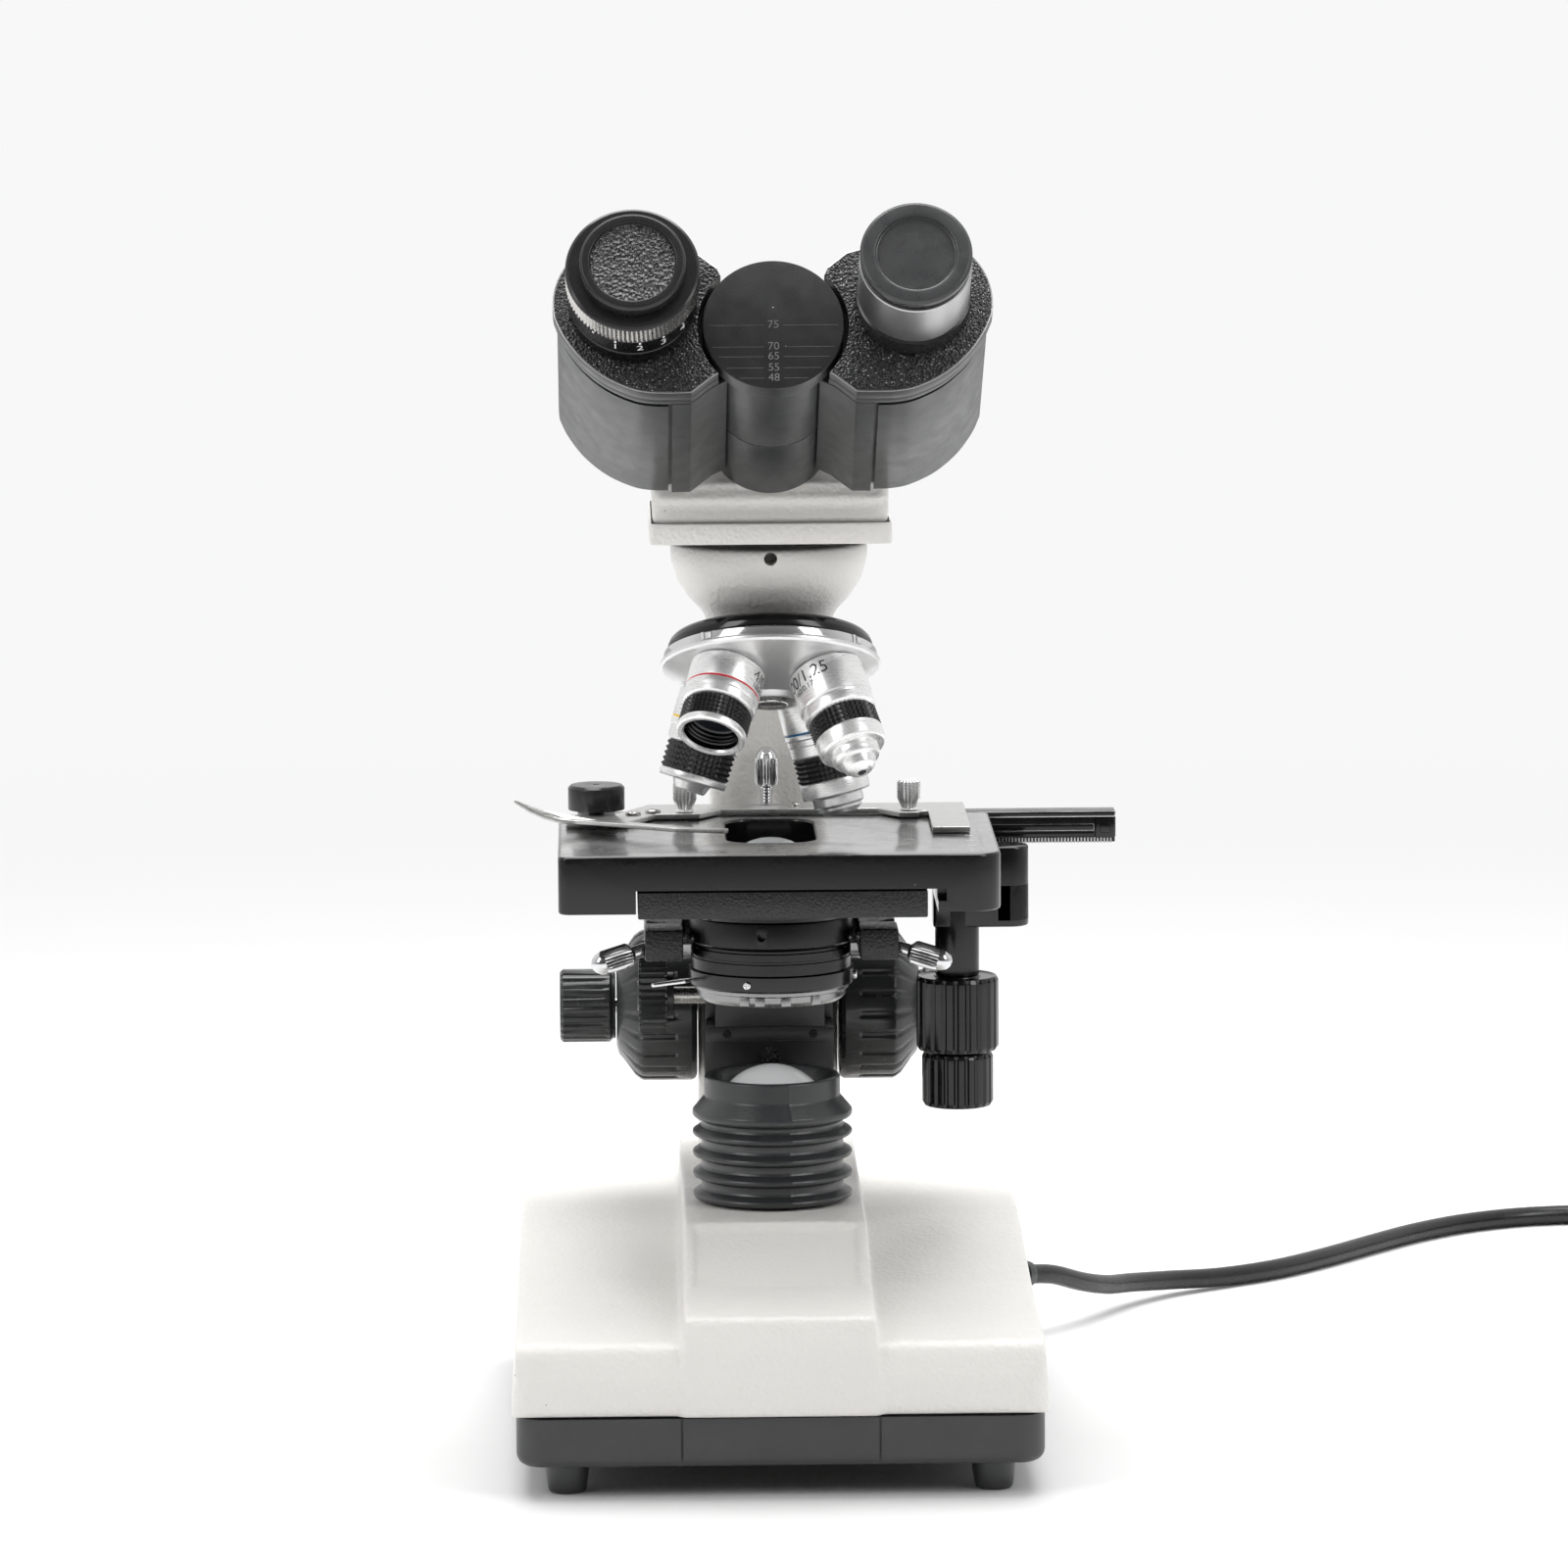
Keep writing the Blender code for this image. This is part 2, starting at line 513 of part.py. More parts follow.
def screw_axis(side):
    point = Vector((side * SCREW_POINT.x, SCREW_POINT.y, SCREW_POINT.z))
    return point, Vector((side * SCREW_DIRECTION.x, SCREW_DIRECTION.y, SCREW_DIRECTION.z))


def make_condenser(root):
    fork = [(-36.5, -8), (-25.3, -8), (-25.3, 24.6), (25.3, 24.6), (25.3, -8), (36.5, -8),
            (36.5, 33.0), (-36.5, 33.0)]
    carrier = plate("condenser_carrier", fork, 9.0, BLACK, root, (0, 0, 141.1))
    body = ((0, 169.9), (6, 169.4), (9.4, 168.0), (11.0, 166.6), (11.4, 162.2), (17.6, 160.0),
            (17.6, 149.7), (22.4, 149.7), (COND_R, 148.7), (COND_R, 142.0), (COND_R - 0.8, 141.0),
            (COND_R - 0.8, 134.3), (0, 134.3))
    turned("condenser_body", body, BLACK, root, steps=FINE_ROUND)
    iris = turned("iris_ring", ((23.9, 134.0), (23.9, 129.6), (15.0, 129.6), (15.0, 134.0)), BLACK,
                  root, steps=FINE_ROUND)
    lever = cylinder("lever_form", 1.2, (-22.0, -8.0, 131.8), (-34.5, -15.0, 131.0), root, 10)
    combine(iris, lever, "UNION")
    turned("filter_holder", ((22.3, 129.3), (22.3, 124.8), (17.5, 124.8), (17.5, 129.3)), BLACK,
           root, steps=FINE_ROUND)

    head = ((0, 22.6), (2.0, 22.0), (3.4, 20.2), (3.5, 10.6), (2.6, 9.2), (1.9, 9.0), (1.9, -6.4),
            (0, -6.4))
    for name, side in (("centring_screw_left", -1), ("centring_screw_right", 1)):
        point, direction = screw_axis(side)
        combine(carrier, cylinder(name + "_bore", 2.4, point - direction * 12,
                                  point + direction * 14, root, 16), "DIFFERENCE")
        turned(name, head, CHROME, root, point,
               direction.to_track_quat("Z", "Y").to_euler(), 16)

    knob = ((0, 38.6), (COND_KNOB_R - 0.5, 38.6), (COND_KNOB_R, 38.1), (COND_KNOB_R, 30.4),
            (COND_KNOB_R - 0.5, 29.9), (2.5, 29.9), (2.5, 16.4), (0, 16.4))
    turned("condenser_knob", knob, BLACK, root, (0, COND_KNOB_Y, COND_KNOB_Z), FLAT_LEFT, 24)


# ---------------------------------------------------------------- nosepiece

def turret_axis():
    """Unit vector down the nosepiece axis, and the middle of the turret's widest plane."""
    axis = Vector((0, -sin(radians(TILT)), -cos(radians(TILT))))
    return axis, Vector((0, 0, APEX_Z)) + axis * RIM_DROP


BARREL = 10.7


def objective_profile(name):
    """Outline of an objective, measured down from its seat on the turret."""
    if name == "objective_4x":
        return ((0, 0), (BARREL, 0), (BARREL, -11.0), (10.3, -13.4), (9.9, -13.6), (9.9, -20.4),
                (9.6, -20.6), (9.6, -22.6), (7.8, -22.6), (7.4, -14.0), (0, -14.0))
    if name == "objective_10x":
        return ((0, 0), (BARREL, 0), (BARREL, -11.0), (10.3, -15.0), (9.9, -15.4), (9.9, -23.4),
                (9.6, -23.6), (9.6, -25.6), (5.2, -25.8), (4.4, -28.6), (0, -28.6))
    if name == "objective_40x":
        return ((0, 0), (BARREL, 0), (BARREL, -11.0), (10.3, -16.0), (9.9, -16.4), (9.9, -23.6),
                (9.5, -24.0), (9.5, -28.4), (7.2, -28.8), (7.2, -31.6), (4.6, -34.0), (0, -34.0))
    return ((0, 0), (BARREL, 0), (BARREL, -11.5), (10.2, -11.9), (10.2, -15.0), (9.9, -15.4),
            (9.9, -21.4), (9.6, -21.8), (9.2, -26.4), (6.8, -26.8), (6.6, -29.4), (2.6, -33.4),
            (2.2, -34.6), (0, -34.6))


def make_nosepiece(root):
    axis, rim = turret_axis()
    lean = (-radians(TILT), 0, 0)
    mount = ((0, MOUNT_RISE), (27.0, MOUNT_RISE), (28.6, 6.6), (29.4, 3.4), (0, 3.4))
    turned("nosepiece_mount", mount, BLACK, root, rim, lean, FINE_ROUND)
    frame = empty("turret_frame", root, rim, lean)
    turret = ((0, 3.1), (30.3, 3.1), (30.5, 0.6), (31.4, 0.2), (31.4, -0.8), (30.6, -1.4),
              (9.0, -10.1), (8.0, -11.6), (4.6, -12.6), (0, -12.6))
    turned("turret", turret, SATIN, frame, steps=FINE_ROUND)
    quarter = 90.0
    for index, name in enumerate(("objective_4x", "objective_100x", "objective_40x",
                                  "objective_10x")):
        # Front is local -Y; the first objective is front left
        bearing = radians(-90 - 45 + quarter * index - PARKED_TURN)
        outward = Vector((cos(bearing), sin(bearing), 0))
        seat = outward * SEAT_RADIUS + Vector((0, 0, -SEAT_DROP - GAP))
        direction = outward * sin(radians(TILT)) + Vector((0, 0, -cos(radians(TILT))))
        turned(name, objective_profile(name), SATIN, frame, seat,
               (-direction).to_track_quat("Z", "Y").to_euler())


# ---------------------------------------------------------------- head

def housing_outline(side, inset=0.0):
    """Cross-section of one wing in the head's frame: a round outer end and a straight inner
    side that the knuckle rings meet."""
    radius = 21.5 - inset
    points = [(-13.2, 12.4 + inset / 2), (-15.4, 17.2 - inset), (-20.6, 21.6 - inset)]
    points += arc((-EYE_X, EYE_W), radius, 97, 232, 10)
    points += [(-39.0, -16.6 + inset), (-31.0, -18.6 + inset), (-22.8, -19.4 + inset),
               (-16.9, -14.6 + inset), (-12.8, -12.4)]
    outline = [(-side * x, y) for x, y in points]
    return outline if side < 0 else outline[::-1]


def make_head(root):
    flange = box("head_mount", (-34.3, -34, 259.6), (34.3, 34, 265.8), WHITE, root, 0.8)
    side = [(-31.5, 264.0), (31.5, 264.0), (31.0, 280.0), (22.0, 300.0), (12.0, 308.0),
            (-11.4, 309.4), (-31.5, 274.6)]
    block = plate("mount_form", side, 67.0, None, root, turn=SIDE)
    round_edges(block, 3.0, 2, 30)
    combine(flange, block, "UNION")
    combine(flange, cylinder("light_hole", 12.0, (0, 0, 250), (0, 0, 282), root),
            "DIFFERENCE")

    frame = empty("head_frame", root, (0, 0, HEAD_Z), (radians(90 - HEAD_RISE), 0, 0))
    column = ((COLUMN_R, DISC_TOP - 8.9), (COLUMN_R, RING_START + 0.4), (7.5, RING_START + 0.4),
              (7.5, DISC_TOP - 8.9))
    turned("hinge_column", column, CHROME, frame)
    disc = ((0, DISC_TOP), (DISC_R - 0.5, DISC_TOP), (DISC_R, DISC_TOP - 0.5),
            (DISC_R, DISC_TOP - 8.0), (DISC_R - 0.5, DISC_TOP - 8.6), (0, DISC_TOP - 8.6))
    turned("scale_disc", disc, BLACK, frame, steps=FINE_ROUND)

    rings = {-1: (RING_SPLIT + 0.2, RING_END), 1: (RING_START + 0.3, RING_SPLIT - 0.2)}
    for side, word in ((-1, "left"), (1, "right")):
        middle = (BODY_START + BODY_END) / 2
        housing = plate(word + "_housing", housing_outline(side), BODY_END - BODY_START, BLACK,
                        frame, (0, 0, middle))
        low, high = rings[side]
        other_low, other_high = rings[-side]
        round_edges(housing, 1.2, 1, 35)
        above = 0.4 if side > 0 else 0.6
        combine(housing, cylinder(word + "_clearance", KNUCKLE_R + 0.5, (0, 0, other_low - 1),
                                  (0, 0, other_high + above), frame, FINE_ROUND), "DIFFERENCE")
        combine(housing, cylinder(word + "_disc_clearance", DISC_R + 0.9, (0, 0, RING_END + 0.6),
                                  (0, 0, 120), frame, FINE_ROUND), "DIFFERENCE")
        combine(housing, cylinder(word + "_knuckle", KNUCKLE_R, (0, 0, low), (0, 0, high),
                                  frame, FINE_ROUND), "UNION")
        combine(housing, cylinder(word + "_column_bore", COLUMN_R + 0.3, (0, 0, 0), (0, 0, 120),
                                  frame), "DIFFERENCE")

        face = plate(word + "_face_plate", housing_outline(side, -0.6), PLATE_END - PLATE_START,
                     BLACK, frame, (0, 0, (PLATE_START + PLATE_END) / 2))
        combine(face, cylinder(word + "_plate_clearance", DISC_R + 1.4, (0, 0, 90), (0, 0, 120),
                               frame, FINE_ROUND), "DIFFERENCE")

    eye = empty("left_eye_frame", frame, (-EYE_X, EYE_W, PLATE_END + GAP))
    left = ((17.6, 5.6), (17.8, 0), (10.5, 0), (10.5, 22.0), (13.4, 22.0), (13.4, 5.6))
    turned("left_eye_tube", left[3:] + left[:3], BLACK, eye)
    ring = ((17.4, 22.4), (18.5, 21.6), (18.5, 14.0), (17.8, 13.6), (17.8, 6.0), (13.8, 6.0),
            (13.8, 22.4))
    turned("diopter_ring", ring, GREY, eye, steps=FINE_ROUND)
    cap = ((0, 27.2), (13.4, 27.2), (14.6, 26.2), (14.6, 22.8), (0, 22.8))
    turned("left_dust_cap", cap, BLACK, eye)

    eye = empty("right_eye_frame", frame, (EYE_X, EYE_W, PLATE_END + GAP))
    right = ((15.5, 26.2), (15.5, 6.2), (17.2, 5.8), (17.2, 0), (11.8, 0), (11.8, 26.2))
    turned("right_eye_tube", right, GREY, eye)
    cap = ((0, 31.4), (14.4, 31.4), (15.4, 30.4), (15.4, 26.5), (0, 26.5))
    turned("right_dust_cap", cap, BLACK, eye)


clear_scene()
PARTS = collection("microscope")
CUTTERS = collection("cutters")
ROOT = bpy.data.objects.new("microscope_frame", None)
PARTS.objects.link(ROOT)
ROOT.location = Vector((-CENTRE_X, -CENTRE_Y, 0)) * MM
make_base(ROOT)
make_lamp(ROOT)
make_cord(ROOT)
make_arm(ROOT)
make_stage(ROOT)
make_holder(ROOT)
make_condenser(ROOT)
make_nosepiece(ROOT)
make_head(ROOT)
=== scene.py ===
"""Looks of a binocular compound microscope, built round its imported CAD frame.

Shapes are in millimetres in local frames, and MM takes them to metres. The design frame has the
optical axis at x = 0, y = 0, the table at z = 0 and the viewer on the -Y side. A profile is a
line of (radius, height) points, each with the material place of the stretch after it where
that isn't 0.
"""
import json
from math import asin, atan2, ceil, cos, degrees, hypot, pi, radians, sin, sqrt, tan

import bmesh
import bpy
from mathutils import Euler, Matrix, Vector


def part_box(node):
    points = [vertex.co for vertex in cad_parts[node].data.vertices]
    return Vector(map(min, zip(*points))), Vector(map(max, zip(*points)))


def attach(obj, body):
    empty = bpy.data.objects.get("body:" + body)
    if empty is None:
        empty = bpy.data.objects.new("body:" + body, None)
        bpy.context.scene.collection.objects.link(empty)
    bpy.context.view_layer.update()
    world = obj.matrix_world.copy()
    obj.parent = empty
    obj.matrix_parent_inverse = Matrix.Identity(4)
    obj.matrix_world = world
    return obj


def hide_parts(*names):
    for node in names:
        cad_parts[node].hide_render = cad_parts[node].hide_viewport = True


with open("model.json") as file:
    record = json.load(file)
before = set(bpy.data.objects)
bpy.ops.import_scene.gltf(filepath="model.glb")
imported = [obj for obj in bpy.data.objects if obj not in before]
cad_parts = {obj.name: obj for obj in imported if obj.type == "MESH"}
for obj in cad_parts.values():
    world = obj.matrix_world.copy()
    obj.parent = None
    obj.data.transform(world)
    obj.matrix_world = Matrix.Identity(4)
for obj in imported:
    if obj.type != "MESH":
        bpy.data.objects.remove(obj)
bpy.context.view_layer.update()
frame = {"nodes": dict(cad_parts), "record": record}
MM = 0.001
FRONT = -90                     # bearing of the viewer's side, in degrees

BODY_OF = {node: body for body, nodes in frame["record"]["behaviour"]["bodies"].items()
           for node in nodes}


# ---------------------------------------------------------------- places

def shift(x, y, z):
    return Matrix.Translation((x, y, z))


def turn(angle, axis):
    return Matrix.Rotation(radians(angle), 4, axis)


def along(point, direction):
    """A frame at point with its Z along direction."""
    return shift(*point) @ direction.to_track_quat("Z", "Y").to_matrix().to_4x4()


def under(node):
    """A frame on the table below the middle of a CAD node."""
    low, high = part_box(node)
    return shift((low.x + high.x) / 2, (low.y + high.y) / 2, 0)


DESIGN = under("lamp_boot")


def at(x=0.0, y=0.0, z=0.0, angles=(0, 0, 0), base=DESIGN):
    """A local frame: millimetres from base, then turned by degrees about X, Y and Z."""
    spin = Euler([radians(a) for a in angles]).to_matrix().to_4x4()
    return base @ shift(x * MM, y * MM, z * MM) @ spin


HEAD = at(0, 0, 275, (60, 0, 0))            # Z along the hinge, towards the viewer and up
TILT = 22.0                                 # nosepiece axis from upright
RIM_DROP, APEX_Z = 42.5, 263.0
TURRET = at(0, -RIM_DROP * sin(radians(TILT)), APEX_Z - RIM_DROP * cos(radians(TILT)),
            (-TILT, 0, 0))


# ---------------------------------------------------------------- materials

class Surface:
    """A Principled material with procedural colour, roughness and relief in object space."""

    def __init__(self, name, colour, rough, metal=0.0, **sockets):
        self.material = bpy.data.materials.new(name)
        self.material.use_nodes = True
        self.tree = self.material.node_tree
        self.shader = self.tree.nodes["Principled BSDF"]
        self.colour, self.rough = colour, rough
        self.shader.inputs["Base Color"].default_value = (*colour, 1)
        for socket, value in {"Roughness": rough, "Metallic": metal, **sockets}.items():
            self.shader.inputs[socket.replace("_", " ")].default_value = value
        self.material.diffuse_color = (*colour, 1)
        self.place = self.node("TexCoord").outputs["Object"]
        self.normal = None

    def node(self, kind, **settings):
        made = self.tree.nodes.new("ShaderNode" + kind)
        for key, value in settings.items():
            setattr(made, key, value)
        return made

    def link(self, source, target):
        self.tree.links.new(source, target)

    def texture(self, kind, size, stretch, **settings):
        """A texture node in which one unit is size millimetres, longer along stretch."""
        mapping = self.node("Mapping")
        self.link(self.place, mapping.inputs["Vector"])
        mapping.inputs["Scale"].default_value = [1000 / size / s for s in stretch]
        made = self.node(kind, **settings)
        made.inputs["Scale"].default_value = 1.0
        self.link(mapping.outputs["Vector"], made.inputs["Vector"])
        return made

    def noise(self, size, detail=2.0, stretch=(1, 1, 1)):
        made = self.texture("TexNoise", size, stretch)
        made.inputs["Detail"].default_value = detail
        return made.outputs["Fac"]

    def cells(self, size, feature="F1", output="Distance"):
        return self.texture("TexVoronoi", size, (1, 1, 1), feature=feature).outputs[output]

    def ramp(self, value, low, high, out_low=0.0, out_high=1.0):
        made = self.node("MapRange")
        for index, number in enumerate((low, high, out_low, out_high), 1):
            made.inputs[index].default_value = number
        self.link(value, made.inputs[0])
        return made.outputs[0]

    def maths(self, operation, a, b):
        made = self.node("Math", operation=operation)
        for socket, value in zip(made.inputs, (a, b)):
            if isinstance(value, (int, float)):
                socket.default_value = value
            else:
                self.link(value, socket)
        return made.outputs[0]

    def relief(self, height, depth):
        """Adds a height field, depth millimetres from its 0 to its 1."""
        bump = self.node("Bump")
        bump.inputs["Strength"].default_value = 1.0
        bump.inputs["Distance"].default_value = depth * MM
        self.link(height, bump.inputs["Height"])
        if self.normal:
            self.link(self.normal, bump.inputs["Normal"])
        self.normal = bump.outputs["Normal"]
        self.link(self.normal, self.shader.inputs["Normal"])
        return self

    def mix(self, share, colour):
        """Mixes colour over the base colour by share."""
        made = self.node("Mix", data_type="RGBA")
        below, above = made.inputs[6], made.inputs[7]
        self.link(share, made.inputs[0])
        base = self.shader.inputs["Base Color"]
        if base.links:
            self.link(base.links[0].from_socket, below)
        else:
            below.default_value = base.default_value
        above.default_value = (*colour, 1)
        self.link(made.outputs[2], base)
        return self

    def tone(self, size, amount, colour):
        """Slow changes of colour."""
        return self.mix(self.ramp(self.noise(size, 3.0), 0.35, 0.75, 0, amount), colour)

    def specks(self, spacing, radius, share, colour):
        """Dots of a radius, in that share of the cells of a spacing."""
        dot = self.maths("LESS_THAN", self.cells(spacing), radius / spacing)
        pick = self.node("SeparateColor")
        self.link(self.cells(spacing, output="Color"), pick.inputs[0])
        chosen = self.maths("LESS_THAN", pick.outputs[0], share)
        return self.mix(self.maths("MULTIPLY", dot, chosen), colour)

    def gloss(self, size, spread, stretch=(1, 1, 1)):
        """Roughness that changes by plus or minus spread."""
        value = self.ramp(self.noise(size, 3.0, stretch), 0.3, 0.7, self.rough - spread,
                          self.rough + spread)
        self.link(value, self.shader.inputs["Roughness"])
        return self


def white_paint():
    """Baked paint over a casting: leathery peel, pores and a few dark specks."""
    s = Surface("white_paint", (0.80, 0.785, 0.75), 0.36, Specular_IOR_Level=0.5)
    s.tone(38, 0.10, (0.70, 0.69, 0.66))
    s.specks(15, 0.36, 0.16, (0.05, 0.045, 0.04))
    s.specks(6, 0.17, 0.12, (0.12, 0.11, 0.10))
    s.gloss(6, 0.07)
    s.relief(s.cells(1.25, "SMOOTH_F1"), 0.22)
    s.relief(s.noise(0.7, 3), 0.10)
    return s.relief(s.noise(14, 1), 0.20).material


def moulded(name, colour, rough, grain, depth, spread=0.05, **sockets):
    """Moulded plastic or rubber with a fine grain of a depth."""
    s = Surface(name, colour, rough, **sockets)
    s.tone(12, 0.35, [c * 1.35 + 0.004 for c in colour])
    s.specks(6, 0.09, 0.10, [c * 3 + 0.06 for c in colour])
    s.gloss(5, spread)
    return s.relief(s.noise(grain, 2), depth).material


def crinkle_paint():
    """Coarse black powder coat, its sparkle drawn as pale specks painted in as glints."""
    s = Surface("crinkle_paint", (0.010, 0.010, 0.0105), 0.26)
    s.specks(0.7, 0.17, 0.20, (0.45, 0.45, 0.45))
    s.gloss(0.8, 0.12)
    s.relief(s.cells(0.7), 0.26)
    return s.relief(s.noise(0.3, 2), 0.06).material


def cast_black():
    """Rough sand-cast black paint."""
    s = Surface("cast_black", (0.014, 0.014, 0.015), 0.34)
    s.gloss(2, 0.08)
    s.relief(s.cells(0.8), 0.14)
    return s.relief(s.noise(0.5, 3), 0.08).material


def gloss_black(name, rough):
    """Black enamel with dust on it."""
    s = Surface(name, (0.006, 0.006, 0.0065), rough)
    s.specks(5.5, 0.09, 0.14, (0.16, 0.16, 0.16))
    s.specks(13, 0.16, 0.12, (0.22, 0.20, 0.18))
    s.gloss(9, 0.06)
    return s.relief(s.noise(1.4, 3), 0.012).material


def metal(name, colour, rough, lay=(1, 1, 1), spread=0.05, depth=0.004, size=0.5, bare=1.0):
    """Metal. lay stretches its marks along an axis; bare below 1 makes its plating milky."""
    s = Surface(name, colour, rough, bare)
    s.tone(7, 0.25, [c * 0.8 for c in colour])
    s.gloss(size, spread, lay)
    return s.relief(s.noise(size * 0.5, 3, lay), depth).material


def ink(name, colour, rough=0.5):
    return Surface(name, colour, rough).gloss(1.0, 0.08).material


def lens_glass():
    # A pale grey glass that lets little light through; its pale colour is a painted reflection of
    # bright surroundings.
    s = Surface("lens_glass", (0.62, 0.65, 0.67), 0.06, IOR=1.5, Transmission_Weight=0.25)
    return s.relief(s.noise(3.0, 1), 0.004).material


def frosted_dome():
    s = Surface("frosted_glass", (0.95, 0.96, 0.96), 0.12, Subsurface_Weight=0.25,
                Subsurface_Radius=(0.004, 0.004, 0.004))
    s.tone(5, 0.08, (0.75, 0.77, 0.78))
    return s.relief(s.noise(0.3, 2), 0.004).material


def leather_disc():
    s = Surface("leather_grain", (0.010, 0.010, 0.011), 0.24, Specular_IOR_Level=0.7)
    s.relief(s.cells(0.85, "SMOOTH_F1"), 0.75)
    s.relief(s.noise(0.4, 2), 0.12)
    return s.gloss(0.6, 0.10).material


WHITE = white_paint()
TRAY = moulded("tray_plastic", (0.040, 0.040, 0.041), 0.40, 0.5, 0.03)
RUBBER = moulded("rubber", (0.020, 0.0215, 0.023), 0.36, 0.8, 0.05, Specular_IOR_Level=0.8)
CABLE = moulded("cable_jacket", (0.012, 0.012, 0.013), 0.27, 1.2, 0.01)
HOUSING = moulded("housing_paint", (0.022, 0.023, 0.024), 0.34, 0.6, 0.03,
                  Specular_IOR_Level=0.6)
DISC_BLACK = moulded("disc_black", (0.012, 0.012, 0.0125), 0.36, 0.5, 0.03)
KNOB = moulded("knob_plastic", (0.026, 0.027, 0.028), 0.24, 0.5, 0.02)
CAP = moulded("cap_rubber", (0.034, 0.035, 0.036), 0.30, 0.6, 0.03, 0.08,
              Specular_IOR_Level=0.7)
GRIP = moulded("grip_black", (0.012, 0.012, 0.013), 0.24, 0.5, 0.012)
SHINY = gloss_black("black_enamel", 0.16)
STAGE_BLACK = gloss_black("stage_enamel", 0.12)
TABLE_TOP = moulded("table_top", (0.016, 0.0165, 0.017), 0.24, 1.5, 0.01, 0.06,
                    Coat_Weight=1.0, Coat_Roughness=0.17)
ANODISED = metal("black_anodised", (0.045, 0.045, 0.046), 0.24, (1, 1, 0.05), spread=0.06)
TUBE = metal("tube_anodised", (0.52, 0.52, 0.525), 0.34)
CRINKLE = crinkle_paint()
CAST = cast_black()
SATIN = metal("satin_chrome", (0.90, 0.90, 0.895), 0.30, (6, 6, 0.25), size=0.4, bare=0.72)
TURRET_METAL = metal("satin_turret", (0.80, 0.80, 0.80), 0.34, size=1.2, bare=0.8)
CHROME = metal("chrome", (0.72, 0.72, 0.73), 0.09, spread=0.03, depth=0.001, size=2.0)
BRUSHED = metal("brushed_steel", (0.62, 0.62, 0.61), 0.32, (14, 0.8, 1), 0.07, 0.008, 0.6)
STEEL = metal("steel", (0.50, 0.49, 0.47), 0.28)
# Grey metal: the filter ring's own colour, and on the face plates' rounded rims partly wear and
# partly a painted highlight.
GREY_METAL_WEAR_AND_SHEEN = metal("grey_metal_wear_and_painted_sheen", (0.30, 0.30, 0.30), 0.30)
LENS = lens_glass()
DARK_GLASS = Surface("coated_glass", (0.01, 0.012, 0.016), 0.05).gloss(4, 0.02).material
FROSTED = frosted_dome()
LEATHER = leather_disc()
WHITE_INK = ink("white_ink", (0.72, 0.72, 0.72))
# Grey ink for the scale's numbers, also painted along the scale's lines as their lit edge.
GREY_INK_AND_PAINTED_EDGE = ink("grey_ink_and_painted_lit_edge", (0.13, 0.13, 0.13))
BLACK_INK = ink("black_ink", (0.02, 0.02, 0.02))
RED = ink("red_band", (0.62, 0.01, 0.03), 0.3)
YELLOW = ink("yellow_band", (0.85, 0.55, 0.02), 0.3)
BLUE = ink("blue_band", (0.02, 0.13, 0.28), 0.3)
# Near-black, used as painted shade inside holes, slots, notches and gaps, and as the colour of
# small black screw heads.
BLACK_AND_PAINTED_SHADE = ink("black_and_painted_shade", (0.004, 0.004, 0.004), 0.8)


# ---------------------------------------------------------------- mesh tools

SLOTS = 8                       # material places kept while a shape is worked on


def soften(points, radius, steps=3):
    """A line of points with each inner corner turned into an arc."""
    made = [points[0]]
    for before, here, after in zip(points, points[1:], points[2:]):
        corner = Vector(here[:2])
        back, ahead = Vector(before[:2]) - corner, Vector(after[:2]) - corner
        if min(back.length, ahead.length) < 1e-6 or back.angle(ahead) > radians(168):
            made.append(here)
            continue
        reach = min(radius / tan(back.angle(ahead) / 2), back.length * 0.46, ahead.length * 0.46)
        start, end = corner + back.normalized() * reach, corner + ahead.normalized() * reach
        for k in range(steps + 1):
            t = k / steps
            spot = start * (1 - t) ** 2 + corner * 2 * t * (1 - t) + end * t * t
            rest = before[2:] if k < steps / 2 else here[2:]
            made.append((spot.x, spot.y, *rest))
    return made + [points[-1]]


def soften_loop(points, radius, steps=3):
    return soften([points[-1], *points, points[0]], radius, steps)[1:-1]


def divide(line, longest):
    """The profile with steps no higher than longest, so that waves follow its slope."""
    rows = []
    for a, b in zip(line, line[1:]):
        parts = max(1, ceil(abs(a[1] - b[1]) / longest))
        rows += [(a[0] + (b[0] - a[0]) * k / parts, a[1] + (b[1] - a[1]) * k / parts, *a[2:])
                 for k in range(parts)]
    return rows + [line[-1]]


def revolve(shape, profile, count=96, closed=False, wave=None):
    """Turns a profile about Z. wave(angle, radius, height) adds to the radius."""
    rings = []
    for radius, height, *_ in profile:
        if radius < 1e-6:
            rings.append([shape.verts.new((0, 0, height))])
            continue
        ring = []
        for k in range(count):
            angle = 2 * pi * k / count
            r = radius + (wave(angle, radius, height) if wave else 0)
            ring.append(shape.verts.new((r * cos(angle), r * sin(angle), height)))
        rings.append(ring)
    pairs = list(zip(rings, rings[1:])) + ([(rings[-1], rings[0])] if closed else [])
    for (first, second), point in zip(pairs, profile):
        if len(first) == len(second) == 1:
            continue
        for k in range(count):
            n = (k + 1) % count
            corners = [first[k]] if len(first) > 1 else [first[0]]
            corners += [second[k], second[n]] if len(second) > 1 else [second[0]]
            corners += [first[n]] if len(first) > 1 else []
            shape.faces.new(corners).material_index = point[2] if len(point) > 2 else 0
    return shape


def turned(profile, count=96, eased=0.0, steps=3, **rest):
    """A new shape turned from a profile with its corners eased."""
    return revolve(bmesh.new(), soften(profile, eased, steps) if eased else profile, count, **rest)


def rod(radius, low, high, count=96):
    """A plain cylinder about Z between two heights."""
    return turned([(0, high), (radius, high), (radius, low), (0, low)], count)


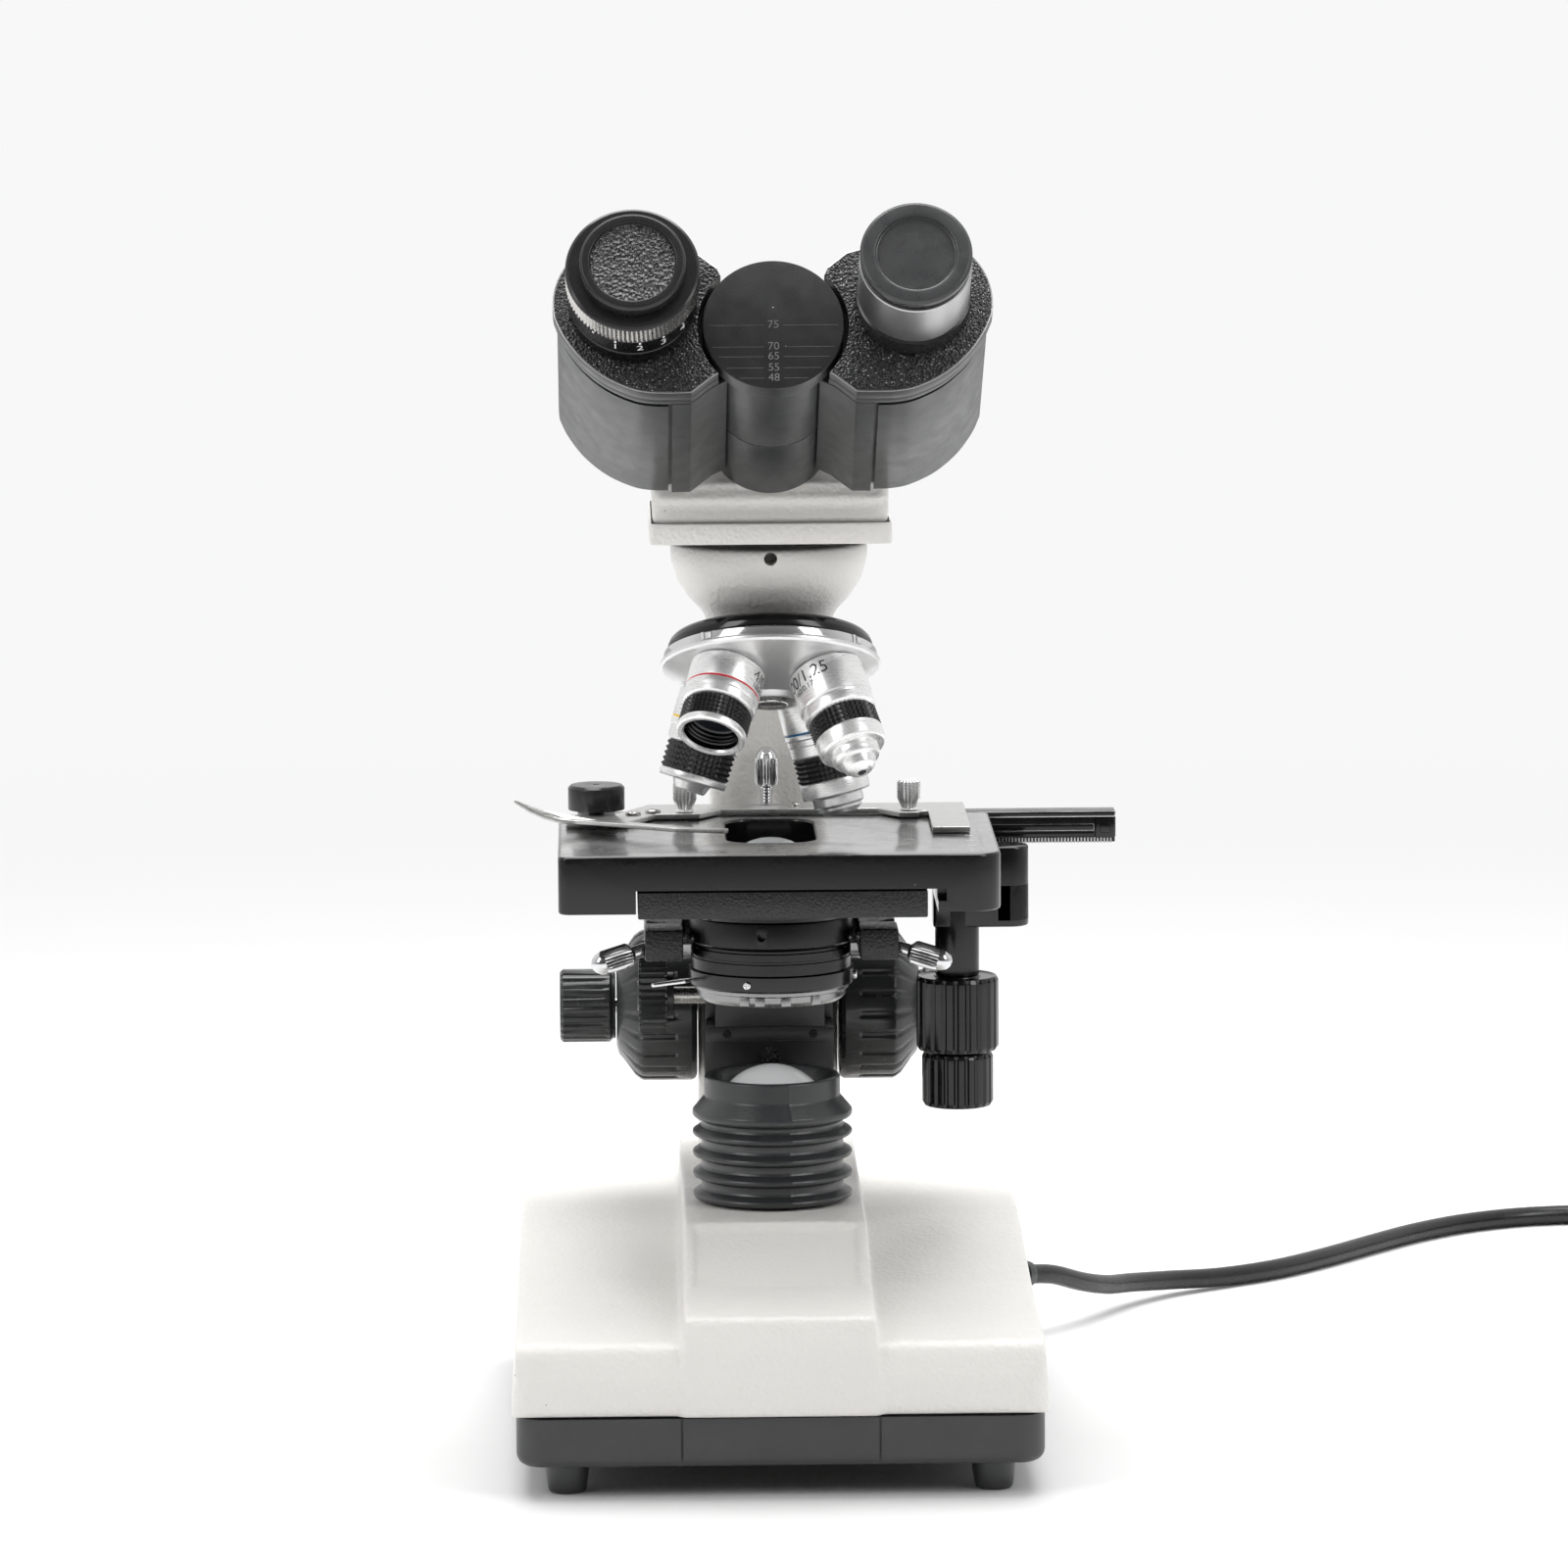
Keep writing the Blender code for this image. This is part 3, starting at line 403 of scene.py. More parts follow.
def teeth(count, depth, low, high, sharp=1.0):
    """A wave of count grooves between two heights."""
    def wave(angle, radius, height):
        phase = angle * count / (2 * pi) % 1
        return -depth * (1 - abs(2 * phase - 1)) ** sharp if low <= height <= high else 0
    return wave


def flutes(count, depth, low, high, width):
    """Round-bottomed grooves with flat lands between them."""
    def wave(angle, radius, height):
        phase = abs((angle * count / (2 * pi)) % 1 - 0.5) / (width / 2)
        return -depth * sqrt(1 - phase ** 2) if phase < 1 and low <= height <= high else 0
    return wave


def block(shape, low, high, bevel=0.0, material=0, matrix=None):
    """Adds a box between two corners, which it rounds."""
    low, high = Vector(low), Vector(high)
    made = bmesh.ops.create_cube(shape, size=1.0)["verts"]
    bmesh.ops.scale(shape, vec=high - low, verts=made)
    bmesh.ops.translate(shape, vec=(low + high) / 2, verts=made)
    faces = {f for v in made for f in v.link_faces}
    if bevel:
        edges = list({e for v in made for e in v.link_edges})
        out = bmesh.ops.bevel(shape, geom=edges, offset=bevel, segments=2, profile=0.5,
                              affect="EDGES")
        faces = {f for f in faces if f.is_valid} | set(out["faces"])
        made = list({v for f in faces for v in f.verts})
    for face in faces:
        face.material_index = material
    if matrix:
        bmesh.ops.transform(shape, matrix=matrix, verts=made)
    return shape


def box(low, high, bevel=0.0):
    return block(bmesh.new(), low, high, bevel)


def move(shape, matrix):
    bmesh.ops.transform(shape, matrix=matrix, verts=shape.verts)
    return shape


def absorb(shape, mesh, material=None, matrix=None):
    """Adds a mesh, which is used up, to shape."""
    part = bmesh.new()
    part.from_mesh(mesh)
    bmesh.ops.remove_doubles(part, verts=part.verts, dist=1e-4)
    if matrix:
        move(part, matrix)
    if material is not None:
        for face in part.faces:
            face.material_index = material
    part.to_mesh(mesh)
    part.free()
    shape.from_mesh(mesh)
    bpy.data.meshes.remove(mesh)
    return shape


def add(shape, part, matrix=None, material=None):
    """Adds another shape, which is used up, to shape."""
    mesh = bpy.data.meshes.new("part")
    face_outwards(part)
    part.to_mesh(mesh)
    part.free()
    return absorb(shape, mesh, material, matrix)


def new_object(name, data):
    obj = bpy.data.objects.new(name, data)
    bpy.context.scene.collection.objects.link(obj)
    return obj


def evaluated_mesh(obj):
    view = bpy.context.evaluated_depsgraph_get()
    view.update()
    return bpy.data.meshes.new_from_object(obj.evaluated_get(view))


def curve_mesh(curve):
    """The mesh of a curve, which is used up."""
    guide = new_object("outline", curve)
    mesh = evaluated_mesh(guide)
    bpy.data.objects.remove(guide)
    bpy.data.curves.remove(curve)
    return mesh


def slab(shape, outline, low, high, bevel=0.0, holes=(), material=0, steps=2, matrix=None):
    """A flat outline between two heights with rounded edges."""
    curve = bpy.data.curves.new("outline", "CURVE")
    curve.dimensions = "2D"
    curve.fill_mode = "BOTH"
    curve.extrude = (high - low) / 2 - bevel
    curve.bevel_depth = bevel
    curve.bevel_resolution = steps
    curve.offset = -bevel
    for line in (outline, *holes):
        spline = curve.splines.new("POLY")
        spline.points.add(len(line) - 1)
        for point, (x, y, *_) in zip(spline.points, line):
            point.co = (x, y, 0, 1)
        spline.use_cyclic_u = True
    lift = shift(0, 0, (low + high) / 2)
    return absorb(shape, curve_mesh(curve), material, (matrix or Matrix()) @ lift)


def plate(outline, low, high, bevel=0.0, **rest):
    """A new shape with one slab."""
    return slab(bmesh.new(), outline, low, high, bevel, **rest)


def letters(shape, text, height, place, material, depth=0.03):
    """Adds lettering of a capital height. place(x, y, z) puts each of its points."""
    curve = bpy.data.curves.new("letters", "FONT")
    curve.body = text
    curve.size = height / 0.7
    curve.extrude = depth
    curve.align_x = curve.align_y = "CENTER"
    mesh = curve_mesh(curve)
    for vertex in mesh.vertices:
        vertex.co = place(*vertex.co)
    return absorb(shape, mesh, material)


def upright(x, y, height):
    """Places lettering flat on a top."""
    return lambda a, b, c: Vector((x + a, y + b, height + c))


def round_face(radius, bearing, height):
    """Places lettering on a cylinder round Z, reading from outside."""
    def place(x, y, z):
        angle = radians(bearing) + x / radius
        return Vector(((radius + z) * cos(angle), (radius + z) * sin(angle), height + y))
    return place


def arc(x, y, radius, start, end, count):
    step = radians(end - start) / (count - 1)
    angles = [radians(start) + step * k for k in range(count)]
    return [(x + radius * cos(a), y + radius * sin(a)) for a in angles]


def circle(radius, count=48, x=0.0, y=0.0):
    return arc(x, y, radius, 0, 360, count + 1)[:-1]


def rectangle(left, front, right, back, radii, steps=8):
    """A rectangle from above, with a radius for each corner from front left round."""
    corners = ((left, front, 1, 1, 180), (right, front, -1, 1, 270), (right, back, -1, -1, 0),
               (left, back, 1, -1, 90))
    line = []
    for (x, y, in_x, in_y, start), r in zip(corners, radii):
        line += arc(x + in_x * r, y + in_y * r, r, start, start + 90, steps)
    return line


def smooth_route(points, parts):
    """Points on a smooth curve through the given ones, parts to each stretch."""
    nodes = [Vector(p) for p in points]
    nodes = [2 * nodes[0] - nodes[1]] + nodes + [2 * nodes[-1] - nodes[-2]]
    route = []
    for a, b, c, d in zip(nodes, nodes[1:], nodes[2:], nodes[3:]):
        for k in range(parts):
            t = k / parts
            route.append(0.5 * (2 * b + (c - a) * t + (2 * a - 5 * b + 4 * c - d) * t * t
                                + (3 * b - a - 3 * c + d) * t ** 3))
    return route + [nodes[-2]]


def face_outwards(shape):
    bmesh.ops.recalc_face_normals(shape, faces=shape.faces)
    if shape.calc_volume(signed=True) < 0:
        bmesh.ops.reverse_faces(shape, faces=shape.faces)


def solid(shape):
    """A plain object of a shape in millimetres, to work on further."""
    face_outwards(shape)
    mesh = bpy.data.meshes.new("solid")
    for _ in range(SLOTS):
        mesh.materials.append(None)
    shape.to_mesh(mesh)
    shape.free()
    return new_object("solid", mesh)


def bake(obj, *spent):
    """Applies an object's modifiers and removes the objects that they used."""
    mesh = evaluated_mesh(obj)
    obj.modifiers.clear()
    obj.data = mesh
    for other in spent:
        bpy.data.objects.remove(other)
    return obj


def cut(obj, shape, operation="DIFFERENCE", solver="EXACT"):
    """Applies a boolean with another shape at once."""
    other = solid(shape)
    change = obj.modifiers.new("cut", "BOOLEAN")
    change.operation, change.object, change.solver = operation, other, solver
    return bake(obj, other)


def ease(obj, width):
    """Rounds the edges of a working object that are sharper than 40 degrees."""
    change = obj.modifiers.new("ease", "BEVEL")
    change.width, change.segments = width, 4
    change.limit_method, change.angle_limit = "ANGLE", radians(40)
    return bake(obj)


def cast(obj, passes, voxel=0.8):
    """Melts a solid's parts together and rounds its edges, as a casting has them."""
    melt = obj.modifiers.new("melt", "REMESH")
    melt.mode, melt.voxel_size = "VOXEL", voxel
    smooth = obj.modifiers.new("smooth", "SMOOTH")
    smooth.factor, smooth.iterations = 0.5, passes
    return bake(obj)


def unpack(obj):
    """The shape of a working object, which is removed."""
    shape = bmesh.new()
    shape.from_mesh(obj.data)
    bpy.data.objects.remove(obj)
    return shape


def piece(name, shape, matrix, node, materials, sharp=32):
    """A finished piece in metres on the body of a CAD node, which it replaces."""
    face_outwards(shape)
    bmesh.ops.scale(shape, vec=(MM, MM, MM), verts=shape.verts)
    mesh = bpy.data.meshes.new(name)
    shape.to_mesh(mesh)
    shape.free()
    mesh.shade_smooth()
    mesh.set_sharp_from_angle(angle=radians(sharp))
    for look in materials:
        mesh.materials.append(look)
    obj = new_object(name, mesh)
    obj.matrix_world = matrix
    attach(obj, BODY_OF[node])
    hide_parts(node)
    return obj


def repaint(node, look):
    """Gives a CAD node that is shown as it is another material."""
    mesh = frame["nodes"][node].data
    mesh.materials.clear()
    mesh.materials.append(look)


# ---------------------------------------------------------------- base

BASE_HALF, COVER_BOTTOM, SPINE_HALF = 75.2, 23.3, 27.8
SIDEWAYS = Matrix(((0, 0, 1, 0), (1, 0, 0, 0), (0, 1, 0, 0), (0, 0, 0, 1)))   # outline in YZ


def prism(outline, half, draft=0.0, edge=0.0, above=-1e3):
    """A side outline given a width along X that narrows upwards, its long edges rounded."""
    shape = plate(outline, -half, half, matrix=SIDEWAYS)
    for cap in (-half, half):
        flat = [f for f in shape.faces if all(abs(v.co.x - cap) < 0.01 for v in f.verts)]
        bmesh.ops.dissolve_faces(shape, faces=flat)
    if edge:
        rims = [e for e in shape.edges
                if all(abs(abs(v.co.x) - half) < 0.01 for v in e.verts)
                and max(v.co.z for v in e.verts) > above]
        bmesh.ops.bevel(shape, geom=rims, offset=edge, segments=4, profile=0.5, affect="EDGES")
    for vertex in shape.verts:
        vertex.co.x *= 1 - draft * max(0.0, vertex.co.z - COVER_BOTTOM) / half
    return shape


def make_cover():
    """The cast cover: two wings, a raised middle with a recessed slope, all well rounded."""
    wings = [(-108, COVER_BOTTOM), (105, COVER_BOTTOM), (105, 55), (46, 55), (10, 50.6),
             (-30, 46.5), (-68, 44.6), (-104.6, 44.2), (-107.5, 34)]
    spine = [(-108.6, COVER_BOTTOM), (105, COVER_BOTTOM), (105, 66), (-38, 66), (-65, 52.6),
             (-105.6, 51.4), (-107.9, 42)]
    recess = [(-39.1, 65.5), (-38.5, 64.0), (-63.6, 51.8), (-67.5, 51.8), (-41, 69)]
    slope_top, into_slope = Vector((0, -38, 66)), Vector((0, 0.445, -0.896))
    plan = rectangle(-BASE_HALF - 1, -108.6, BASE_HALF + 1, 105.2, (9, 9, 6, 6))
    switch_hole = box((-52.6, 95.5, 33.4), (-31.4, 110, 46.6))

    cover = solid(prism(soften_loop(wings, 5.5, 5), BASE_HALF, 0.075))
    ease(cut(cover, plate(plan, 20, 70), "INTERSECT"), 2.4)
    middle = solid(prism(soften_loop(spine, 2.6, 4), SPINE_HALF, 0.04))
    dip = prism(recess, 24.6)
    for vertex in dip.verts:
        if (vertex.co - slope_top).dot(into_slope) > 0.5:
            vertex.co.x *= 0.93
    ease(cut(middle, dip), 1.0)
    joined = absorb(unpack(cover), middle.data)
    cover = cut(cast(solid(joined), 4), switch_hole)
    piece("cover_shell", unpack(cover), DESIGN, "base_cover", [WHITE], sharp=50)


def make_tray():
    """The plastic tray, in three panels parted by grooves, with tapered feet."""
    bottom, rim, groove_x = 9, 23, 27.6
    shape = plate(rectangle(-73.8, -106, 73.8, 103.4, (8, 8, 7, 7)), bottom, 30, 3.4, steps=4)
    slab(shape, rectangle(-27.2, -106.5, 27.2, 103.6, (0.6,) * 4, 3), bottom, 30, 3.0, steps=4)
    every = [*shape.verts, *shape.edges, *shape.faces]
    ends = bmesh.ops.bisect_plane(shape, geom=every, plane_co=(0, 0, rim), plane_no=(0, 0, 1),
                                  clear_outer=True)
    edges = [e for e in ends["geom_cut"] if isinstance(e, bmesh.types.BMEdge)]
    bmesh.ops.holes_fill(shape, edges=edges)
    tray = solid(shape)
    for x in (-groove_x, groove_x):
        cut(tray, box((x - 0.3, -110, 5), (x + 0.3, -105.2, 26)))
    cut(tray, plate(rectangle(-68, -100, 68, 97, (6,) * 4), 0, 10.2))
    shape = unpack(tray)
    # The vent slots are drawn as thin black strips of painted shade.
    for x in (-36, 36):                     # vent slots under the lamp
        for k in range(6):
            block(shape, (x - 12, -20 + 7 * k, 9.4), (x + 12, -17 + 7 * k, 10.1), 0.3, 1)
    piece("tray_shell", shape, DESIGN, "base_tray", [TRAY, BLACK_AND_PAINTED_SHADE])
    foot = [(0, 9.2), (7.6, 9.2), (6.35, 8.2), (5.9, 4.5), (5.4, 1.2), (5.1, 0.1), (2.2, 0.1),
            (2.0, 1.6), (0, 1.6)]
    for corner in ("front_left", "front_right", "rear_left", "rear_right"):
        node = corner + "_foot"
        piece(node + "_rubber", turned(foot, 64, 0.8), under(node), node, [RUBBER])


def make_back_controls():
    """Rocker switch and brightness dial on the back wall."""
    shape = box((-10.2, -4.0, -5.6), (10.2, 3.6, 5.6), 0.5)
    rocker = [(-6.5, 1.0), (6.5, 1.0), (6.5, 5.0), (0, 3.4), (-6.5, 6.2)]
    slab(shape, soften_loop(rocker, 0.5), -4.0, 4.0, 0.3, material=1)
    for text, left, proud in (("I", 4.2, 4.6), ("O", -4.2, 5.9)):
        letters(shape, text, 2.4,
                lambda x, y, z, a=left, b=proud: Vector((-x - a, z + b, y)), 2)
    piece("rocker_switch_cap", shape, at(-42, 101, 40), "rocker_switch",
          [HOUSING, GRIP, WHITE_INK])
    dial = [(0, 7.0), (7.4, 7.0), (9.0, 5.8), (9.0, 0.8), (3.4, 0.8), (3.4, -9), (0, -9)]
    shape = turned(dial, 180, 0.6, wave=flutes(30, 0.4, 1.2, 5.6, 0.5))
    block(shape, (-0.35, 2.5, 6.95), (0.35, 7.0, 7.05), 0, 1)
    piece("brightness_dial_cap", shape, at(40, 105, 41, (-90, 0, 0)), "brightness_dial",
          [KNOB, WHITE_INK])


def make_lamp():
    """Ribbed rubber boot with a mould seam, holding the frosted lens."""
    boot_radius, body_radius = 23.1, 19.0
    seam_x, seam_proud, seam_half = 5.3, 0.16, 0.7
    line = [(15.6, 99.2), (17.6, 102.4), (19.2, 102.5), (19.6, 102.0), (19.6, 96.6), (20.0, 96.0),
            (23.0, 92.5), (boot_radius, 91.3), (22.7, 90.6), (20.6, 89.7)]
    for crest in (85.9, 79.9, 73.9, 67.9):
        line += [(20.4, crest + 2.7), (20.7, crest + 2.0), (22.9, crest + 0.7),
                 (boot_radius, crest + 0.1), (22.8, crest - 0.6), (20.6, crest - 1.4)]
    line += [(20.6, 66.3), (15.6, 66.3)]
    seam = radians(FRONT) + asin(seam_x / boot_radius)

    def ridge(angle, radius, height):
        away = abs((angle - seam + pi) % (2 * pi) - pi)
        proud = seam_proud * max(0.0, 1 - away * radius / seam_half)
        return proud if radius > body_radius else 0

    boot = turned(line, 256, 0.5, 2, closed=True, wave=ridge)
    piece("boot_rubber", boot, DESIGN, "lamp_boot", [RUBBER], sharp=40)
    radius, rise, rim = 13.2, 6.3, 99.0     # of the lens's dome
    ball = (radius ** 2 + rise ** 2) / (2 * rise)
    dome = [(ball * sin(a), rim + rise - ball + ball * cos(a))
            for a in (k / 12 * atan2(radius, ball - rise) for k in range(13))]
    dome += [(13.4, 98.6, 1), (15.2, 98.5, 1), (15.2, 94.2), (0, 94.2)]
    piece("lens_dome", turned(dome), DESIGN, "lamp_lens", [FROSTED, GRIP])
    repaint("lamp_bulb", LENS)


# ---------------------------------------------------------------- cord

CORD_R = 3.0
CORD_ROUTE = ((80.1, 127.4, 18.9), (87.8, 135.2, 17.2), (97.0, 147.0, 12.7), (105.5, 161.0, 9.0),
              (114.0, 174.5, 7.0), (127.0, 189.0, 4.9), (143.0, 201.0, 3.4), (161.0, 215.0, 3.1),
              (178.0, 234.0, 3.1), (194.0, 255.0, 3.1), (210.0, 275.0, 3.1), (227.0, 291.0, 3.1),
              (246.0, 301.5, 3.1), (266.0, 305.6, 3.1), (288.0, 306.4, 3.1), (309.0, 306.0, 3.1))
COIL = Vector((317.0, 263.0, 0))
INNER, OUTER = 29.95, 36.05                 # mean radii of the coil's two columns
LOW, MIDDLE, HIGH = 3.1, 9.0, 14.9          # heights of its three layers
COIL_START, TURNS, TURN_POINTS = 100.0, 5, 28
CROSSING = 0.78                             # share of a turn after which it changes place
LEAD_IN, LEAD_IN_WIDER = 0.12, 7.0          # share of the first turn that comes in from outside
PLUG_X, PLUG_Z, PLUG_BACK, PLUG_FRONT = 353.0, 12.3, 221.0, 205.0
PLUG_ENTRY = PLUG_BACK + 19.6


def coil_turns():
    """Turns wound clockwise: out low, in low, up the inner column, over, down the outer."""
    places = ((OUTER, LOW), (INNER, LOW), (INNER, MIDDLE), (INNER, HIGH), (OUTER, HIGH),
              (OUTER, MIDDLE))
    whole = TURNS + COIL_START / 360
    total = ceil(whole * TURN_POINTS)
    points = []
    for k in range(total + 1):
        done = k / total * whole
        bearing = radians(COIL_START - 360 * done)
        slot = min(int(done), len(places) - 1)
        over = max(0.0, (done - slot - CROSSING) / (1 - CROSSING))
        here, after = places[slot], places[min(slot + 1, len(places) - 1)]
        radius, height = Vector(here).lerp(Vector(after), over * over * (3 - 2 * over))
        if done < LEAD_IN:
            radius += (1 - done / LEAD_IN) ** 2 * LEAD_IN_WIDER
        points.append(COIL + Vector((radius * cos(bearing), radius * sin(bearing), height)))
    return points


def make_cord():
    """The whole lead as one curve: free run, stored coil and the way into the plug."""
    turns = coil_turns()
    last = turns[-1]
    end = [Vector((PLUG_X, last.y + (PLUG_ENTRY - 3 - last.y) * k / 4,
                   last.z + (PLUG_Z - last.z) * k / 4)) for k in range(1, 5)]
    points = smooth_route(CORD_ROUTE, 4)[:-1] + turns + end
    points = [DESIGN @ (p * MM) for p in points]
    curve = bpy.data.curves.new("mains_lead", "CURVE")
    curve.dimensions = "3D"
    curve.bevel_depth = CORD_R * MM
    curve.bevel_resolution = 5
    curve.use_fill_caps = True
    spline = curve.splines.new("POLY")
    spline.points.add(len(points) - 1)
    for point, place in zip(spline.points, points):
        point.co = (*place, 1)
    spline.use_smooth = True
    curve.materials.append(CABLE)
    lead = new_object("mains_lead", curve)
    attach(lead, BODY_OF["power_cord"])
    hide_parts("power_cord", "cord_coil")
    return lead, points[0], sum((b - a).length for a, b in zip(points, points[1:]))


def ribs(count, top, pitch, radius, growth, flare, depth, land):
    """Ribs of a strain relief below top, each wider than the last by growth."""
    line = []
    for k in range(count):
        z, r = top - k * pitch, radius + k * growth
        line += [(r, z), (r + flare, z - land), (r - depth, z - land - 0.2),
                 (r - depth, z - land - 1.0)]
    return line


def make_gland():
    """Gland with a ribbed, tapered strain relief."""
    shape = turned([(0, 3.0), (7.0, 3.0), (7.0, 0.3), (0, 0.3)], 64, 0.5)
    move(shape, shift(62, 105, 22) @ turn(-90, "X"))
    relief = [(0, 25.4), (3.9, 25.4), *ribs(7, 24.2, 3.2, 4.1624, 0.1664, 0.05, 0.55, 1.9),
              (5.4, 1.2), (5.4, -2.0), (0, -2.0)]
    out = Vector((0.70, 0.70, -0.12)).normalized()
    add(shape, turned(relief, 48), along((62, 109.3, 22), out))
    return piece("cord_gland_rubber", shape, DESIGN, "cord_gland", [RUBBER])


def make_plug():
    """Generic two-pin plug with a ribbed grip and a tapered relief."""
    half, pin_x, pin_tip = 17, 6.5, 187.5
    shape = plate(rectangle(-half, -12, half, 12, (5,) * 4), PLUG_FRONT, PLUG_BACK, 1.4)
    move(shape, Matrix(((1, 0, 0, PLUG_X), (0, 0, 1, 0), (0, 1, 0, PLUG_Z), (0, 0, 0, 1))))
    for k in range(4):
        for side in (-1, 1):
            x, y = PLUG_X + side * half, PLUG_FRONT + 3 + 3 * k
            block(shape, (x - 0.7, y, 5.3), (x + 0.1 * side + 0.6, y + 1.4, 19.3), 0.25)
    relief = [(0, 19.6), (3.4, 19.6), *ribs(5, 18.6, 3.4, 3.5, 0.16, 0, 0.5, 2.2),
              (4.4, 1.4), (6.2, 0), (6.2, -1), (0, -1)]
    add(shape, turned(relief, 40), shift(PLUG_X, PLUG_BACK, PLUG_Z) @ turn(-90, "X"))
    for x in (PLUG_X - pin_x, PLUG_X + pin_x):
        block(shape, (x - 0.8, pin_tip, 9.2), (x + 0.8, PLUG_FRONT + 1, 15.4), 0.35, 1)
    return piece("power_plug_body", shape, DESIGN, "power_plug", [GRIP, STEEL])


# ---------------------------------------------------------------- arm and focus

def make_arm():
    """The casting: a post, a curved neck and the bowl that carries nosepiece and head."""
    lower = [(54.0, 66.3), (101.0, 66.3), (103.0, 100.0), (101.0, 133.0), (64.4, 133.0),
             (54.0, 124.0)]
    upper = [(65.0, 110.0), (100.5, 110.0), (99.0, 160.0), (93.0, 196.0), (80.0, 227.0),
             (62.0, 246.0), (38.0, 255.0), (7.3, 256.3), (7.3, 239.0), (20.0, 236.0),
             (44.0, 226.0), (58.0, 208.0), (65.0, 184.0)]
    bowl = [(0, 257.4), (27.9, 257.4), (28.3, 255.5), (28.0, 252.0), (26.4, 246.5),
            (23.2, 241.5), (18.9, 237.0), (15.0, 225.0), (0, 225.0)]
    hole_radius, hole_z = 1.9, 254.8
    post = solid(prism(soften_loop(lower, 5.0, 4), 20.4, edge=3.0, above=68))
    neck = solid(prism(soften_loop(upper, 16, 6), 16.5, edge=3.2))
    joined = absorb(unpack(post), neck.data)
    arm = cast(solid(add(joined, turned(bowl, 128, 6, 5))), 6)
    to_design = DESIGN.inverted() @ TURRET
    to_design.translation = to_design.translation / MM
    cut(arm, move(rod(34, -40, 8.3), to_design))
    cut(arm, move(rod(hole_radius, -9, 9, 32), shift(0, -26, hole_z) @ turn(90, "X")))
    shape = unpack(arm)
    # Faces inside the small hole at the bowl's front take the black as painted shade.
    for face in shape.faces:
        middle = face.calc_center_median()
        if hypot(middle.x, middle.z - hole_z) < hole_radius - 0.05 and middle.y < -17:
            face.material_index = 1
    piece("arm_casting", shape, DESIGN, "arm", [WHITE, BLACK_AND_PAINTED_SHADE], sharp=50)
    for node in ("coarse_shaft", "fine_shaft", "hinge_column"):
        repaint(node, CHROME)


def make_focus_knobs():
    """Coarse knobs with recessed slots round the rim, and fluted fine knobs."""
    coarse = [(2.9, 44.6), (12.2, 44.6), (14.4, 43.9), (16.4, 42.2), (20.7, 39.2), (21.9, 37.6),
              (22.3, 36.6), (22.3, 27.51), (22.3, 26.6), (22.3, 22.6), (21.6, 21.4),
              (20.6, 21.0), (2.9, 21.0)]
    fine = soften([(0, 60.9), (7.6, 60.9), (7.9, 61.3), (9.8, 61.3), (10.8, 60.4),
                   (10.8, 49.04), (10.8, 46.6), (9.9, 45.9), (9.7, 44.9), (0, 44.9)], 0.4)
    slots, grooves = flutes(22, 0.75, 27.0, 40.2, 0.34), flutes(24, 0.65, 47.0, 60.6, 0.42)
    for side, word in ((-1, "left"), (1, "right")):
        base = at(0, 66, 112.5, (0, 90 * side, 0))
        shape = turned(coarse, 264, closed=True, wave=slots)
        piece("coarse_grip_" + word, shape, base, "coarse_knob_" + word, [KNOB], sharp=28)
        shape = turned(fine, 240, wave=grooves)
        piece("fine_grip_" + word, shape, base, "fine_knob_" + word, [KNOB], sharp=28)


# ---------------------------------------------------------------- stage

STAGE_TOP, TABLE_BOTTOM = 172.5, 156
TABLE_LEFT, TABLE_RIGHT = -61, 64.5
CHANNEL_LEFT, CHANNEL_RIGHT, CHANNEL_TOP = -39.0, 46.5, 162.75
CONTROL_X, CONTROL_Y = 54.3, 18             # axis of the two stage knobs


def make_table():
    """The enamelled table: a thick plate with a slot and an engraved rule."""
    outline = rectangle(TABLE_LEFT, -46.5, TABLE_RIGHT, 41, (3.2, 8.2, 2, 2))
    slot = rectangle(-12.6, -19, 12.6, 31, (8,) * 4, 10)
    table = solid(plate(outline, TABLE_BOTTOM, STAGE_TOP, 0.8, holes=[slot[::-1]], steps=4))
    cut(table, box((CHANNEL_LEFT, -60, 150), (CHANNEL_RIGHT, 60, CHANNEL_TOP)))
    cut(table, box((CHANNEL_RIGHT - 1.2, -60, 159.2), (CHANNEL_RIGHT + 2.4, -38, CHANNEL_TOP)))
    shape = unpack(table)
    for face in shape.faces:
        if min(v.co.z for v in face.verts) > STAGE_TOP - 0.01:
            face.material_index = 2
    for left, right in ((TABLE_LEFT, CHANNEL_LEFT), (CHANNEL_RIGHT, TABLE_RIGHT)):
        block(shape, (left, 40, TABLE_BOTTOM), (right, 52, 162.7), 0.5)
    rule_right, rule_start = 60.6, -38
    for k in range(45):
        y = rule_start + k
        long = 2.6 if k % 10 == 0 else 1.9 if k % 5 == 0 else 1.3
        block(shape, (rule_right - long, y - 0.09, STAGE_TOP - 0.05),
              (rule_right, y + 0.09, STAGE_TOP + 0.02), 0, 1)
        if k % 10 == 0:
            letters(shape, str(k), 1.7, upright(rule_right - 4, y, STAGE_TOP), 1, depth=0.02)
    piece("stage_table", shape, DESIGN, "stage_plate", [STAGE_BLACK, WHITE_INK, TABLE_TOP])


